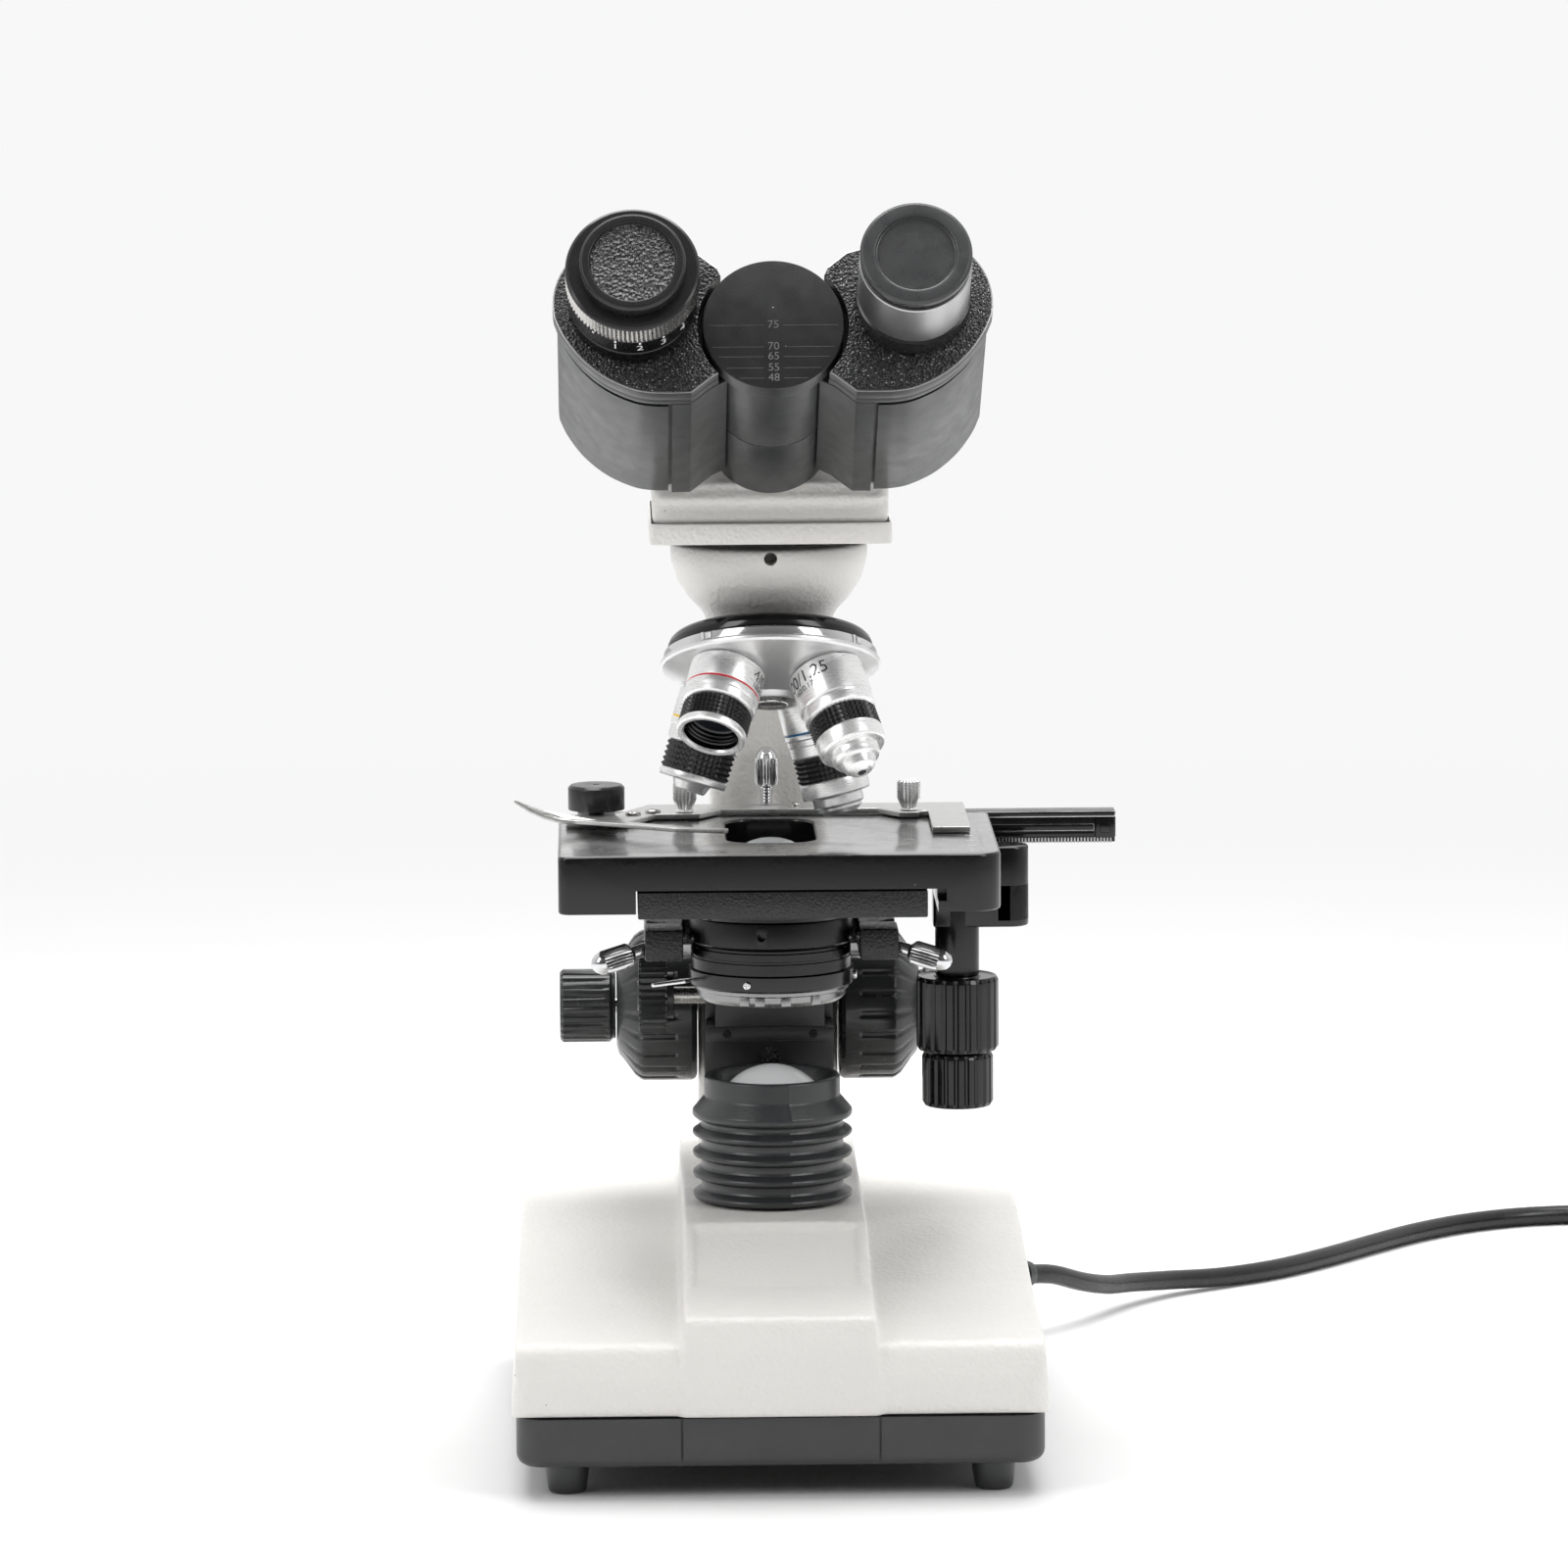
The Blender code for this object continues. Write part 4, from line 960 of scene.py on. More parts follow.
def make_dovetail():
    """The stage's lower half, with the rim of the condenser's opening."""
    base = solid(box((CHANNEL_LEFT + 0.5, -46, 154.5), (43.6, 52.4, 162.2), 0.5))
    rim = [(29, 157), (29, 151.6), (28.2, 150.5), (26.2, 150.5), (25.5, 151.2), (25.5, 157)]
    cut(base, rod(19.2, 140, 170, 72))
    shape = add(unpack(base), turned(rim, 96, 0.3, closed=True), material=1)
    piece("stage_dovetail", shape, DESIGN, "stage_base", [CAST, SHINY])


def make_stage_controls():
    """Bracket, control tube and the two fluted knobs."""
    shape = plate(rectangle(47.2, 12, 75.0, 24, (1.2, 5.5, 5.5, 1.2)), 142.8, 155.6, 0.7)
    slab(shape, rectangle(65.2, 12, 75.0, 24, (0.8, 5.5, 5.5, 0.8)), 144, 166.2, 0.7)
    tube = turned([(0, 150), (6.4, 150), (6.4, 128.4), (0, 128.4)], 64, 0.3)
    add(shape, tube, shift(CONTROL_X, CONTROL_Y, 0), 1)
    piece("control_bracket", shape, DESIGN, "control_post", [SHINY, ANODISED])
    for node, radius, height, bottom in (("stage_y_knob", 11.9, 22.0, 106.2),
                                         ("stage_x_knob", 10.3, 15.9, 89.9)):
        line = soften([(0, height), (6.6, height), (6.8, height - 0.5),
                       (radius - 1.6, height - 0.5), (radius - 0.7, height),
                       (radius, height - 1.4), (radius, 1.4), (radius - 0.7, 0.2),
                       (radius - 1.4, 0), (0, 0)], 0.35)
        shape = turned(divide(line, 1.6), 252, wave=flutes(21, 0.75, 0.8, height - 0.8, 0.42))
        piece(node + "_fluted", shape, at(CONTROL_X, CONTROL_Y, bottom), node, [SHINY], sharp=28)


def make_slide_carrier():
    """Cast slide behind the condenser, with its ledge, screws and guide."""
    slide = solid(box((-19, 41, 94), (19, 53, 154.2), 0.7))
    bore_z = 100.5
    for x, z, radius, depth, count in ((-13.8, 109, 1.35, 42.6, 24), (13.8, 109, 1.35, 42.6, 24),
                                       (0, bore_z, 3.0, 43.5, 40)):
        cut(slide, move(rod(radius, 38, depth, count), shift(x, 0, z) @ turn(-90, "X")))
    shape = unpack(slide)
    block(shape, (-19, 50, 146.5), (19, 62.6, 154.2), 0.8)
    block(shape, (-18.6, 24.9, 108), (18.6, 43, 112.2), 0.5)
    block(shape, (-16, 24.8, 112), (16, 45, 129.4), 0.6, 1)
    for k in range(9):                      # thread seen in the bore
        z = bore_z - 2.6 + k * 0.62
        block(shape, (-2.8, 43.2, z), (2.8, 43.45, z + 0.25), 0, 2)
    for x in (-12.6, 12.6):
        add(shape, screw_head(1.25, 0.5), shift(x, 24.95, 110.1) @ turn(90, "X"), 3)
    piece("stage_slide_casting", shape, DESIGN, "stage_slide",
          [DISC_BLACK, DISC_BLACK, STEEL, BLACK_AND_PAINTED_SHADE])


def screw_head(radius, height, cuts=((1.1, 0.14, 0.45),)):
    """A small domed screw head, its top along Z. Each cut is half a length, half a width and
    the height of its floor, as shares of the radius and the height."""
    line = [(0, height), (radius * 0.8, height), (radius, height * 0.6), (radius, -0.3),
            (0, -0.3)]
    head = solid(turned(line, 32, radius * 0.2))
    for length, width, floor in cuts:
        cut(head, box((-radius * length, -radius * width, height * floor),
                      (radius * length, radius * width, height + 1)))
    return unpack(head)


def make_limit_screw():
    """Domed, knurled head on a threaded shank."""
    line = [(0, 11.6), (1.2, 11.4), (2.2, 10.7), (2.95, 9.5), (3.2, 8.2), (3.3, 7.7), (3.3, 0.7),
            (2.9, 0.1), (2.1, -0.3)]
    for k in range(26):
        z = -0.6 - 0.9 * k
        line += [(2.0, z), (1.5, z - 0.45)]
    line += [(1.5, -24.0), (0, -24.0)]
    shape = turned(divide(line, 3), 160, wave=teeth(20, 0.5, 0.5, 8.0))
    piece("limit_screw_plated", shape, at(0, 59.3, 178.6), "limit_screw", [CHROME], sharp=24)


def make_rack_bar():
    """Bar with a grooved end and rack teeth along its underside."""
    left, right, teeth_count, pitch = -52, 101.8, 159, 0.96
    shape = block(bmesh.new(), (left, 42.4, 170.6), (right, 50.5, 172.4), 0.3, 1)
    block(shape, (left, 43.0, 164.6), (right, 50.5, 170.8), 0.25)
    block(shape, (60, 42.55, 166.6), (95.5, 43.2, 168.6), 0.12, 1)
    # A thin black strip of painted shade stands for the slot below the bright strip.
    block(shape, (60, 42.75, 164.9), (95.5, 43.1, 166.2), 0.1, 2)
    block(shape, (95.8, 42.3, 164.4), (101.5, 43.6, 170.4), 0.4)
    block(shape, (97.2, 42.1, 166.0), (100.2, 42.5, 169.0), 0.3)
    block(shape, (left + 0.5, 43.4, 163.2), (right - 0.2, 49.5, 164.7))
    for k in range(teeth_count):
        x = left + 0.5 + k * pitch
        block(shape, (x, 42.9, 163.0), (x + 0.45, 49.0, 164.5), 0, 1)
    piece("rack_bar_cut", shape, DESIGN, "x_rack_bar", [SHINY, BRUSHED, BLACK_AND_PAINTED_SHADE])


def make_holder():
    """Slide holder with a bent foot, pivot, sprung finger and thumb screws."""
    outline = [(-59, 13.5), (-41, 13.5), (-33, 29), (-27.5, 29), (-20, 29), (-14, 38), (32, 38),
               (38, 29), (43.4, 29), (44.6, 31.6), (46.5, 31.6), (46.5, -3), (57.5, -3),
               (57.5, 50), (-35, 50), (-44, 31), (-59, 31)]
    shape = plate(soften_loop(outline, 0.6, 2), 172.9, 174.4, 0.22)
    block(shape, (46.7, -3.0, 172.75), (57.3, 3.0, 172.95), 0.05)
    for x, y, radius in ((-39.4, 28.0, 2.3), (-33.6, 32.2, 2.3), (8, 44, 1.6), (24, 44, 1.6)):
        add(shape, screw_head(radius, 0.9), shift(x, y, 174.5) @ turn(x * 7, "Z"), 1)
    piece("slide_holder_plate", shape, DESIGN, "slide_holder", [BRUSHED, STEEL])

    pivot_place = at(-50, 22, 0)
    pivot = [(0, 183.5), (0.6, 183.7), (1.0, 184.2), (7.4, 184.2), (8.2, 183.4), (8.2, 177.0),
             (2.2, 176.9), (2.2, 174.7), (0, 174.7)]
    piece("clamp_pivot_knob", turned(pivot, 96, 0.3), pivot_place, "clamp_pivot", [GRIP])
    piece("clamp_finger_spring", finger_shape(), pivot_place, "clamp_finger", [BRUSHED],
          sharp=40)
    screw = [(0, 8.6), (2.6, 8.6), (3.3, 8.2), (3.4, 7.8), (3.4, 3.4), (3.1, 2.6), (2.2, 0.5),
             (2.6, 0.0), (0, 0)]
    for node, x in (("thumb_screw_left", -24.3), ("thumb_screw_right", 41.0)):
        shape = turned(divide(screw, 2.5), 144, wave=teeth(18, 0.6, 2.4, 8.3))
        piece(node + "_knurled", shape, at(x, 33.5, 174.7), node, [SATIN], sharp=24)


def finger_shape():
    """Curved sprung finger: eye round the pivot, nose on the slide, tail rising past the edge."""
    inner = [(38.0, -37.2), (24.0, -32.0), (8.0, -20.5), (5.0, -3.5)]
    outer = [(-5.0, -4.0), (-8.0, -12.5), (-23.0, -14.8), (-24.0, -16.6), (-6.0, -17.6),
             (6.0, -25.0), (22.0, -35.6), (37.0, -40.0)]
    line = soften_loop(inner + arc(0, 0, 5.6, -30, 210, 16) + outer, 5, 4)
    shape = plate(line, 175.0, 176.2, 0.2, holes=[circle(2.6, 24)])
    bmesh.ops.subdivide_edges(shape, edges=[e for e in shape.edges if e.calc_length() > 2.2],
                              cuts=3, use_grid_fill=False)
    for vertex in shape.verts:
        tail = max(0.0, -vertex.co.x - 7)
        vertex.co.z += min(6.5, tail ** 2 * 0.022)
    return shape


# ---------------------------------------------------------------- condenser

def screw_axis(side):
    """Frame of a centring screw, Z outwards."""
    return along((side * 31.0, -2.0, 141.1), Vector((side * 0.91, -0.33, -0.24)))


def make_carrier():
    """Cast fork with two screw blocks."""
    inner, outer, bottom, top = 25.4, 36.5, 136.6, 145.6
    fork = [(-30.5, 6), (-25.3, 6), (-25.3, 24.6), (25.3, 24.6), (25.3, 6), (30.5, 6),
            (36.0, 12), (outer, 33.0), (-outer, 33.0), (-36.0, 12)]
    shape = plate(soften_loop(fork, 1.2), bottom, top, 0.6)
    for left, right in ((-outer, -inner), (inner, outer)):
        block(shape, (left, -8.0, bottom), (right, 7.5, top), 0.8)
    work = solid(shape)
    for side in (-1, 1):
        cut(work, move(rod(2.3, -12, 14, 32), screw_axis(side)))
    piece("condenser_fork", unpack(work), DESIGN, "condenser_carrier", [CAST])


def make_condenser():
    """Turned black body under its top lens, iris with a lever, and filter ring."""
    line = [(0, 171.4, 1), (3.2, 171.1, 1), (6.0, 170.3, 1), (8.4, 169.0, 1), (9.2, 168.9),
            (10.8, 167.6), (11.4, 166.0), (11.4, 162.2), (17.2, 160.2), (17.6, 159.4),
            (17.6, 149.9), (22.2, 149.7), (23.2, 149.2), (23.4, 148.4), (23.4, 142.3),
            (22.9, 141.7), (22.4, 141.3), (22.4, 140.7), (22.9, 140.4), (22.9, 138.4),
            (22.5, 138.2), (22.5, 137.6), (22.9, 137.4), (22.9, 134.3), (0, 134.3)]
    work = solid(turned(line, 128))
    cut(work, move(rod(1.25, 20, 30, 24), shift(0, 0, 145.6) @ turn(-98, "Z") @ turn(90, "Y")))
    piece("condenser_barrel", unpack(work), DESIGN, "condenser_body", [ANODISED, LENS])

    line = [(23.9, 133.9), (23.9, 129.9), (23.5, 129.6), (15.0, 129.6), (15.0, 133.9)]
    shape = turned(line, 128, 0.2, closed=True)
    for k in range(3):                      # leaves of the diaphragm
        slab(shape, circle(15.6, 40), 131.2 + 0.4 * k, 131.5 + 0.4 * k,
             holes=[circle(6.5, 7 + k)], material=3)
    add_lever(shape, Vector((-21.5, -9.0, 131.8)), Vector((-34.6, -15.2, 131.0)))
    for bearing, radius, height in ((-108, 1.15, 0.7), (-4, 1.3, 0.9)):
        head = screw_head(radius, height, ((0.62, 0.13, 0.3), (0.13, 0.62, 0.3)))
        add(shape, head, turn(bearing, "Z") @ shift(23.85, 0, 131.7) @ turn(90, "Y"), 1)
    piece("iris_diaphragm", shape, DESIGN, "iris_ring", [SHINY, CHROME, CHROME, GRIP])

    line = [(22.3, 129.2), (22.3, 128.2), (21.4, 127.9), (21.4, 126.2), (20.2, 124.9),
            (17.6, 124.8), (17.5, 129.2)]
    shape = turned(line, 128, 0.3, closed=True)
    for bearing in (-112, -100, -80, -55):
        block(shape, (21.2, -1.4, 125.4), (21.9, 1.4, 127.9), 0.15, 0, turn(bearing, "Z"))
    slab(shape, circle(17.7, 64), 126.2, 127.6, 0.1, material=1)
    piece("filter_ring", shape, DESIGN, "filter_holder", [GREY_METAL_WEAR_AND_SHEEN, LENS])


def add_lever(shape, start, end):
    """Flat chromed iris lever with a round end."""
    x = (end - start).normalized()
    y = x.cross(Vector((0, 0, 1))).normalized()
    axes = Matrix((x, y, y.cross(x))).transposed().to_4x4()
    length = (end - start).length
    line = [(-2, -1.0), (2.4, -1.0), (4.6, -1.7), *arc(length - 1.0, 0, 1.0, -80, 80, 7),
            (4.6, 1.7), (2.4, 1.0), (-2, 1.0)]
    slab(shape, soften_loop(line, 0.5), -0.55, 0.35, 0.15, material=2,
         matrix=shift(*start) @ axes)


def make_condenser_screws():
    """Two knurled centring screws and the knurled lifting knob."""
    head = [(0, 22.6), (1.1, 22.4), (2.1, 21.8), (3.0, 20.6), (3.35, 19.3), (3.5, 18.8),
            (3.5, 11.4), (3.2, 10.8), (2.5, 10.2), (1.9, 9.6), (1.9, -6.4), (0, -6.4)]
    for side, node in ((-1, "centring_screw_left"), (1, "centring_screw_right")):
        place = screw_axis(side)
        place.translation *= MM
        shape = turned(divide(head, 2.5), 176, wave=teeth(22, 0.45, 11.0, 19.0))
        piece(node + "_knurled", shape, DESIGN @ place, node, [CHROME], sharp=24)
    knob = soften([(0, 38.6), (4.2, 38.6), (4.5, 38.2), (10.4, 38.2), (11.0, 37.6), (11.0, 30.6),
                   (10.4, 29.9), (6.8, 29.9), (6.8, 28.0), (2.5, 28.0), (2.5, 16.4), (0, 16.4)],
                  0.3)
    knob = [(r, z, 1 if z <= 27.9 else 0) for r, z in knob]
    shape = turned(divide(knob, 2.5), 264, wave=teeth(33, 0.8, 30.3, 37.9, 0.7))
    piece("condenser_knob_knurled", shape, at(0, 31, 120.8, (0, -90, 0)), "condenser_knob",
          [KNOB, STEEL], sharp=24)


# ---------------------------------------------------------------- nosepiece

BARREL, CORE, GRIP_R = 10.7, 9.28, 9.95     # radii of an objective's barrel, core and grip
CLICK = FRONT + 6                           # bearing of the working position


def painted(look, *points):
    return [(radius, height, look) for radius, height in points]


OBJECTIVES = {
    "4x": {
        "words": "4/0.1", "bearing": 68, "band": (-7.9, 2), "grip": (-13.6, -20.4),
        "shoulder": [(BARREL, -10.6), (10.4, -11.0), (10.3, -13.0), (9.9, -13.3)],
        "nose": [(9.85, -20.6), (9.95, -21.0), (9.9, -22.3), (9.3, -22.7), (8.2, -22.6)]
        + painted(5, (7.9, -21.8), (7.9, -20.2), (7.4, -20.0), (7.6, -19.4), (7.2, -19.0),
                  (7.4, -18.2), (7.0, -17.8), (7.2, -16.8)),
        "glass": [(6.6, -16.4), (0, -16.0)]},
    "10x": {
        "words": "10/0.25", "bearing": 150, "band": (-8.3, 3), "grip": (-15.4, -23.4),
        "shoulder": [(BARREL, -10.6), (10.4, -11.0), (10.3, -14.8), (9.9, -15.2)],
        "nose": [(9.85, -23.6), (9.9, -24.0), (9.8, -25.4), (9.4, -25.7), (5.6, -25.8),
                 (5.4, -26.2), (4.6, -28.2), (4.2, -28.6)],
        "glass": [(2.6, -28.6), (2.2, -28.2), (0, -28.0)]},
    "40x": {
        "words": "40/0.65", "bearing": 150, "band": (-8.6, 4), "grip": (-16.4, -23.6),
        "shoulder": [(BARREL, -10.6), (10.4, -11.0), (10.3, -12.6), (10.1, -12.8),
                     (10.1, -15.8), (9.9, -16.2)],
        "nose": [(9.8, -23.9), (9.9, -24.3), (9.9, -28.0), (9.5, -28.5), (7.4, -28.7),
                 (7.3, -29.0), (7.3, -31.2), (6.9, -31.7), (6.4, -31.8), (6.4, -32.6),
                 (5.0, -33.8), (4.4, -34.0)],
        "glass": [(1.9, -34.0), (1.6, -33.7), (0, -33.6)]},
    "100x": {
        "words": "100/1.25", "bearing": -40, "band": None, "grip": (-15.4, -21.4),
        "shoulder": [(BARREL, -11.0), (10.3, -11.5), (10.1, -12.0), (10.4, -12.4),
                     (10.4, -14.6), (9.9, -15.0)],
        "nose": [(9.8, -21.7), (9.9, -22.1), (9.6, -25.8), (9.0, -26.5), (7.1, -26.8),
                 (7.0, -27.1), (7.0, -28.8), (6.4, -29.9), (5.2, -30.3), (5.0, -31.2),
                 (4.4, -32.5), (3.2, -33.5), (2.0, -34.0)],
        "glass": [(1.3, -34.0), (1.0, -33.6), (0, -33.5)]}}


def make_nosepiece():
    """Black ring, satin turret with a notched chrome band, and the four objectives."""
    line = [(0, 8.0), (26.6, 8.0), (27.6, 7.6), (28.6, 6.6), (29.2, 5.2), (29.4, 3.4), (0, 3.4)]
    piece("nosepiece_ring", turned(line, 160, 0.5), TURRET, "nosepiece_mount", [SHINY])
    line = [(0, 3.1, 1), (30.1, 3.1, 1), (30.4, 2.8, 1), (30.5, 0.8, 1), (30.3, 0.5),
            (30.9, 0.5), (31.4, 0.1), (31.4, -0.7), (30.8, -1.3), (27.0, -2.9), (18.0, -6.7),
            (9.4, -10.1), (8.4, -11.2), (7.8, -11.7, 2), (4.9, -12.0, 2), (4.6, -12.6, 3),
            (2.4, -12.7, 3), (0, -12.7, 3)]
    shape = turned(line, 200, 0.35)
    # The click notches are black blocks of painted shade set into the chrome band.
    for k in range(4):                      # click notches in the chrome band
        spin = turn(CLICK + 44 + 90 * k, "Z")
        block(shape, (30.0, -0.55, 0.5), (30.62, 0.55, 3.1), 0.1, 4, spin)
        block(shape, (30.2, 1.2, 0.7), (30.58, 3.2, 2.7), 0.1, 4, spin)
    # A black bar of painted shade under the turret's middle.
    block(shape, (-3.4, -0.5, -12.95), (3.4, 0.5, -12.6), 0.1, 4)
    piece("turret_plate", shape, TURRET, "turret", [TURRET_METAL, CHROME, STEEL, STEEL, BLACK_AND_PAINTED_SHADE])
    for index, name in enumerate(("4x", "100x", "40x", "10x")):
        bearing = radians(CLICK - 45 + 90 * index)
        outward, up = Vector((cos(bearing), sin(bearing), 0)), Vector((0, 0, 1))
        seat = outward * 19.5 - up * 6.1
        axis = up * cos(radians(TILT)) - outward * sin(radians(TILT))
        make_objective(name, TURRET @ along(seat * MM, axis))


def add_knurling(shape, radius, top, bottom, rows):
    """Pyramid knurling, as square points in rows round the barrel."""
    pitch = (top - bottom) / rows
    count = round(2 * pi * radius / pitch)
    levels = []
    for row in range(2 * rows + 1):
        level = []
        for k in range(2 * count):
            r = radius + 0.15 if row % 2 and k % 2 else radius - 0.6
            angle = pi * k / count
            spot = (r * cos(angle), r * sin(angle), top - pitch * row / 2)
            level.append(shape.verts.new(spot))
        levels.append(level)
    for upper, lower in zip(levels, levels[1:]):
        for k in range(2 * count):
            n = (k + 1) % (2 * count)
            shape.faces.new((upper[k], lower[k], lower[n], upper[n])).material_index = 1


def make_objective(name, place):
    """Satin barrel with a colour ring and generic lettering, a knurled grip and a nose."""
    made = OBJECTIVES[name]
    high, low = made["grip"]
    upper = [(0, 0.6), (9.6, 0.6), (9.6, 0.1), (10.3, 0), (BARREL, -0.4)]
    if made["band"]:                        # painted groove
        z, look = made["band"]
        upper += [(BARREL, z), (BARREL - 0.12, z - 0.05, look), (BARREL - 0.12, z - 0.7),
                  (BARREL, z - 0.75)]
    upper += made["shoulder"] + [(CORE, high)]
    lower = [(CORE, low)] + made["nose"] + painted(6, *made["glass"])
    shape = turned(upper, 144, 0.18, 2)
    revolve(shape, soften(lower, 0.22, 2), 144)
    add_knurling(shape, GRIP_R, high, low, 5 if high - low > 6.5 else 4)
    facing = place.to_3x3().inverted() @ Vector((0, -1, 0))
    bearing = degrees(atan2(facing.y, facing.x)) + made["bearing"]
    letters(shape, made["words"], 3.7, round_face(BARREL + 0.01, bearing, -3.5), 7)
    letters(shape, "160/0.17", 1.7, round_face(BARREL + 0.01, bearing - 3, -6.7), 7)
    node = "objective_" + name
    piece(node + "_barrel", shape, place, node,
          [SATIN, GRIP, RED, YELLOW, BLUE, ANODISED, DARK_GLASS, BLACK_INK], sharp=26)


# ---------------------------------------------------------------- head

KNUCKLE_R, COLUMN_R, DISC_R = 17.2, 11.8, 19.55
RING_START, RING_SPLIT, RING_END, DISC_TOP = 27.6, 59.0, 93.0, 103.0
BODY_START, PANEL_TOP, LIP, BODY_TOP = 34.0, 90.6, 93.2, 96.3
PLATE_START, PLATE_END = 97.2, 102.3
EYE_X, EYE_W = 38.7, 6.7
PANEL_DEPTH, LINE_DEPTH, LINE_X, LINE_WIDTH = 0.6, 2.6, 28.0, 1.0
BELLY = 19.6                                # underside of a wing from the hinge
ROUND = ((0.0, 0.45), (0.13, 0.13), (0.45, 0.0))     # height and inset of a rounded rim


def make_head_mount():
    """The white casting that carries the head, over its square flange."""
    side = [(-31.5, 264.0), (31.5, 264.0), (31.0, 280.0), (22.0, 300.0), (12.0, 308.0),
            (-11.4, 309.4), (-31.5, 274.6)]
    plan = rectangle(-34.3, -34, 34.3, 34, (1.2,) * 4, 4)
    hole_radius, hole_top = 12, 282
    body = cast(solid(prism(soften_loop(side, 3.5, 4), 33.5, edge=3.2)), 4)
    flange = solid(plate(plan, 259.6, 265.6, 0.5))
    for part in (body, flange):
        cut(part, rod(hole_radius, 250, hole_top, 64))
    shape = absorb(unpack(body), flange.data)
    # Faces inside the hole round the column take the black as painted shade.
    for face in shape.faces:
        middle = face.calc_center_median()
        if hypot(middle.x, middle.y) < hole_radius - 0.1 and middle.z < hole_top - 0.1:
            face.material_index = 1
    piece("head_mount_casting", shape, DESIGN, "head_mount", [WHITE, BLACK_AND_PAINTED_SHADE], sharp=50)


def taken_in(line, depth):
    """A line of points moved to its left by depth."""
    made = []
    for before, here, after in zip([line[0], *line], line, [*line[1:], line[-1]]):
        run = Vector(after) - Vector(before)
        made.append((here[0] - depth * run.y / run.length, here[1] + depth * run.x / run.length))
    return made


def wing_section(side, inset, panel=0.0, gap=0.0):
    """Section of one wing: a round outer end and a straight inner side. panel takes the side
    panel in, and gap the upright line between it and the inner side."""
    outer = arc(-EYE_X, EYE_W, 21.5, 97, 190, 32)
    belly = [(*outer[-1], 0), (-57.6, -2.2, 0), (-53.0, -8.8, 0), (-46.6, -14.5, 0),
             (-39.4, -18.2, 0), (-34.0, -19.4, 0), (-LINE_X - LINE_WIDTH, -BELLY, 0)]
    outer += [(p.x, p.y) for p in smooth_route(belly, 6)[1:]]
    start = taken_in(outer, inset)[0]
    base = inset - BELLY
    upper = soften([(-13.2, 12.4 - inset / 2), (-15.4, 17.2 - inset), (-20.6, 21.6 - inset),
                    start], 1.5)
    lower = soften([(-LINE_X, base), (-22.8, base + 0.1), (-16.9, base + 5.0)], 1.2)
    line = upper + taken_in(outer, inset + panel)
    line += [(-LINE_X - LINE_WIDTH, base + gap), (-LINE_X, base + gap)]
    line += lower + [(-12.8, -12.4 + inset / 2)]
    return [(-side * x, y) for x, y in line]


def loft(levels):
    """A closed shape through (height, outline) levels that have as many points each."""
    shape = bmesh.new()
    rings = [[shape.verts.new((x, y, height)) for x, y in line] for height, line in levels]
    for first, second in zip(rings, rings[1:]):
        for a, b, c, d in zip(first, first[1:] + first[:1], second[1:] + second[:1], second):
            shape.faces.new((a, b, c, d))
    shape.faces.new(rings[0])
    shape.faces.new(rings[-1])
    bmesh.ops.remove_doubles(shape, verts=shape.verts, dist=1e-3)
    bmesh.ops.dissolve_degenerate(shape, dist=1e-3, edges=shape.edges)
    return shape


def make_wing(side):
    """One folding half of the head: lofted housing, its hinge ring and its face plate."""
    word = "left" if side < 0 else "right"
    rings = {-1: (RING_SPLIT + 0.15, RING_END), 1: (RING_START + 0.3, RING_SPLIT - 0.15)}
    low, high = rings[side]
    other_low, other_high = rings[-side]
    panel = [(BODY_START + rise, inset, PANEL_DEPTH, LINE_DEPTH) for rise, inset in ROUND]
    panel += [(PANEL_TOP, 0, PANEL_DEPTH, LINE_DEPTH), (PANEL_TOP, 0, LINE_DEPTH, LINE_DEPTH),
              (LIP, 0, LINE_DEPTH, LINE_DEPTH)]
    panel += [(LIP + rise, inset, 0, 0) for rise, inset in ROUND]
    panel += [(BODY_TOP - rise, inset, 0, 0) for rise, inset in reversed(ROUND)]
    housing = solid(loft([(height, wing_section(side, *rest)) for height, *rest in panel]))
    for cutter in (rod(KNUCKLE_R + 0.5, other_low - 1, other_high + 0.6),
                   rod(DISC_R + 0.9, RING_END + 0.6, 120)):
        cut(housing, cutter, solver="MANIFOLD")
    shape = unpack(housing)
    # The ring's end faces and bore take the darker grip black, as painted shade in the gaps at the
    # ring's ends.
    line = soften([(COLUMN_R + 0.3, high, 1), (KNUCKLE_R, high, 0), (KNUCKLE_R, low, 1),
                   (COLUMN_R + 0.3, low, 1)], 0.4)
    revolve(shape, line, 144, True)
    piece(word + "_housing_shell", shape, HEAD, word + "_housing", [HOUSING, GRIP], sharp=30)

    rim = [(PLATE_START + rise, inset) for rise, inset in ROUND]
    rim += [(PLATE_END - rise, inset) for rise, inset in reversed(ROUND)]
    cover = solid(loft([(height, wing_section(side, inset - 0.6)) for height, inset in rim]))
    cut(cover, rod(DISC_R + 1.4, 90, 120, 128))
    shape = unpack(cover)
    # The flat top takes the crinkle paint, the sides the housing black, and the rounded rim the
    # grey metal, partly as wear and partly as a painted highlight.
    for face in shape.faces:
        face.normal_update()
        rise = face.normal.z
        face.material_index = 0 if rise > 0.97 else 2 if rise > 0.2 else 1
    piece(word + "_face_cover", shape, HEAD, word + "_face_plate", [CRINKLE, HOUSING, GREY_METAL_WEAR_AND_SHEEN],
          sharp=25)


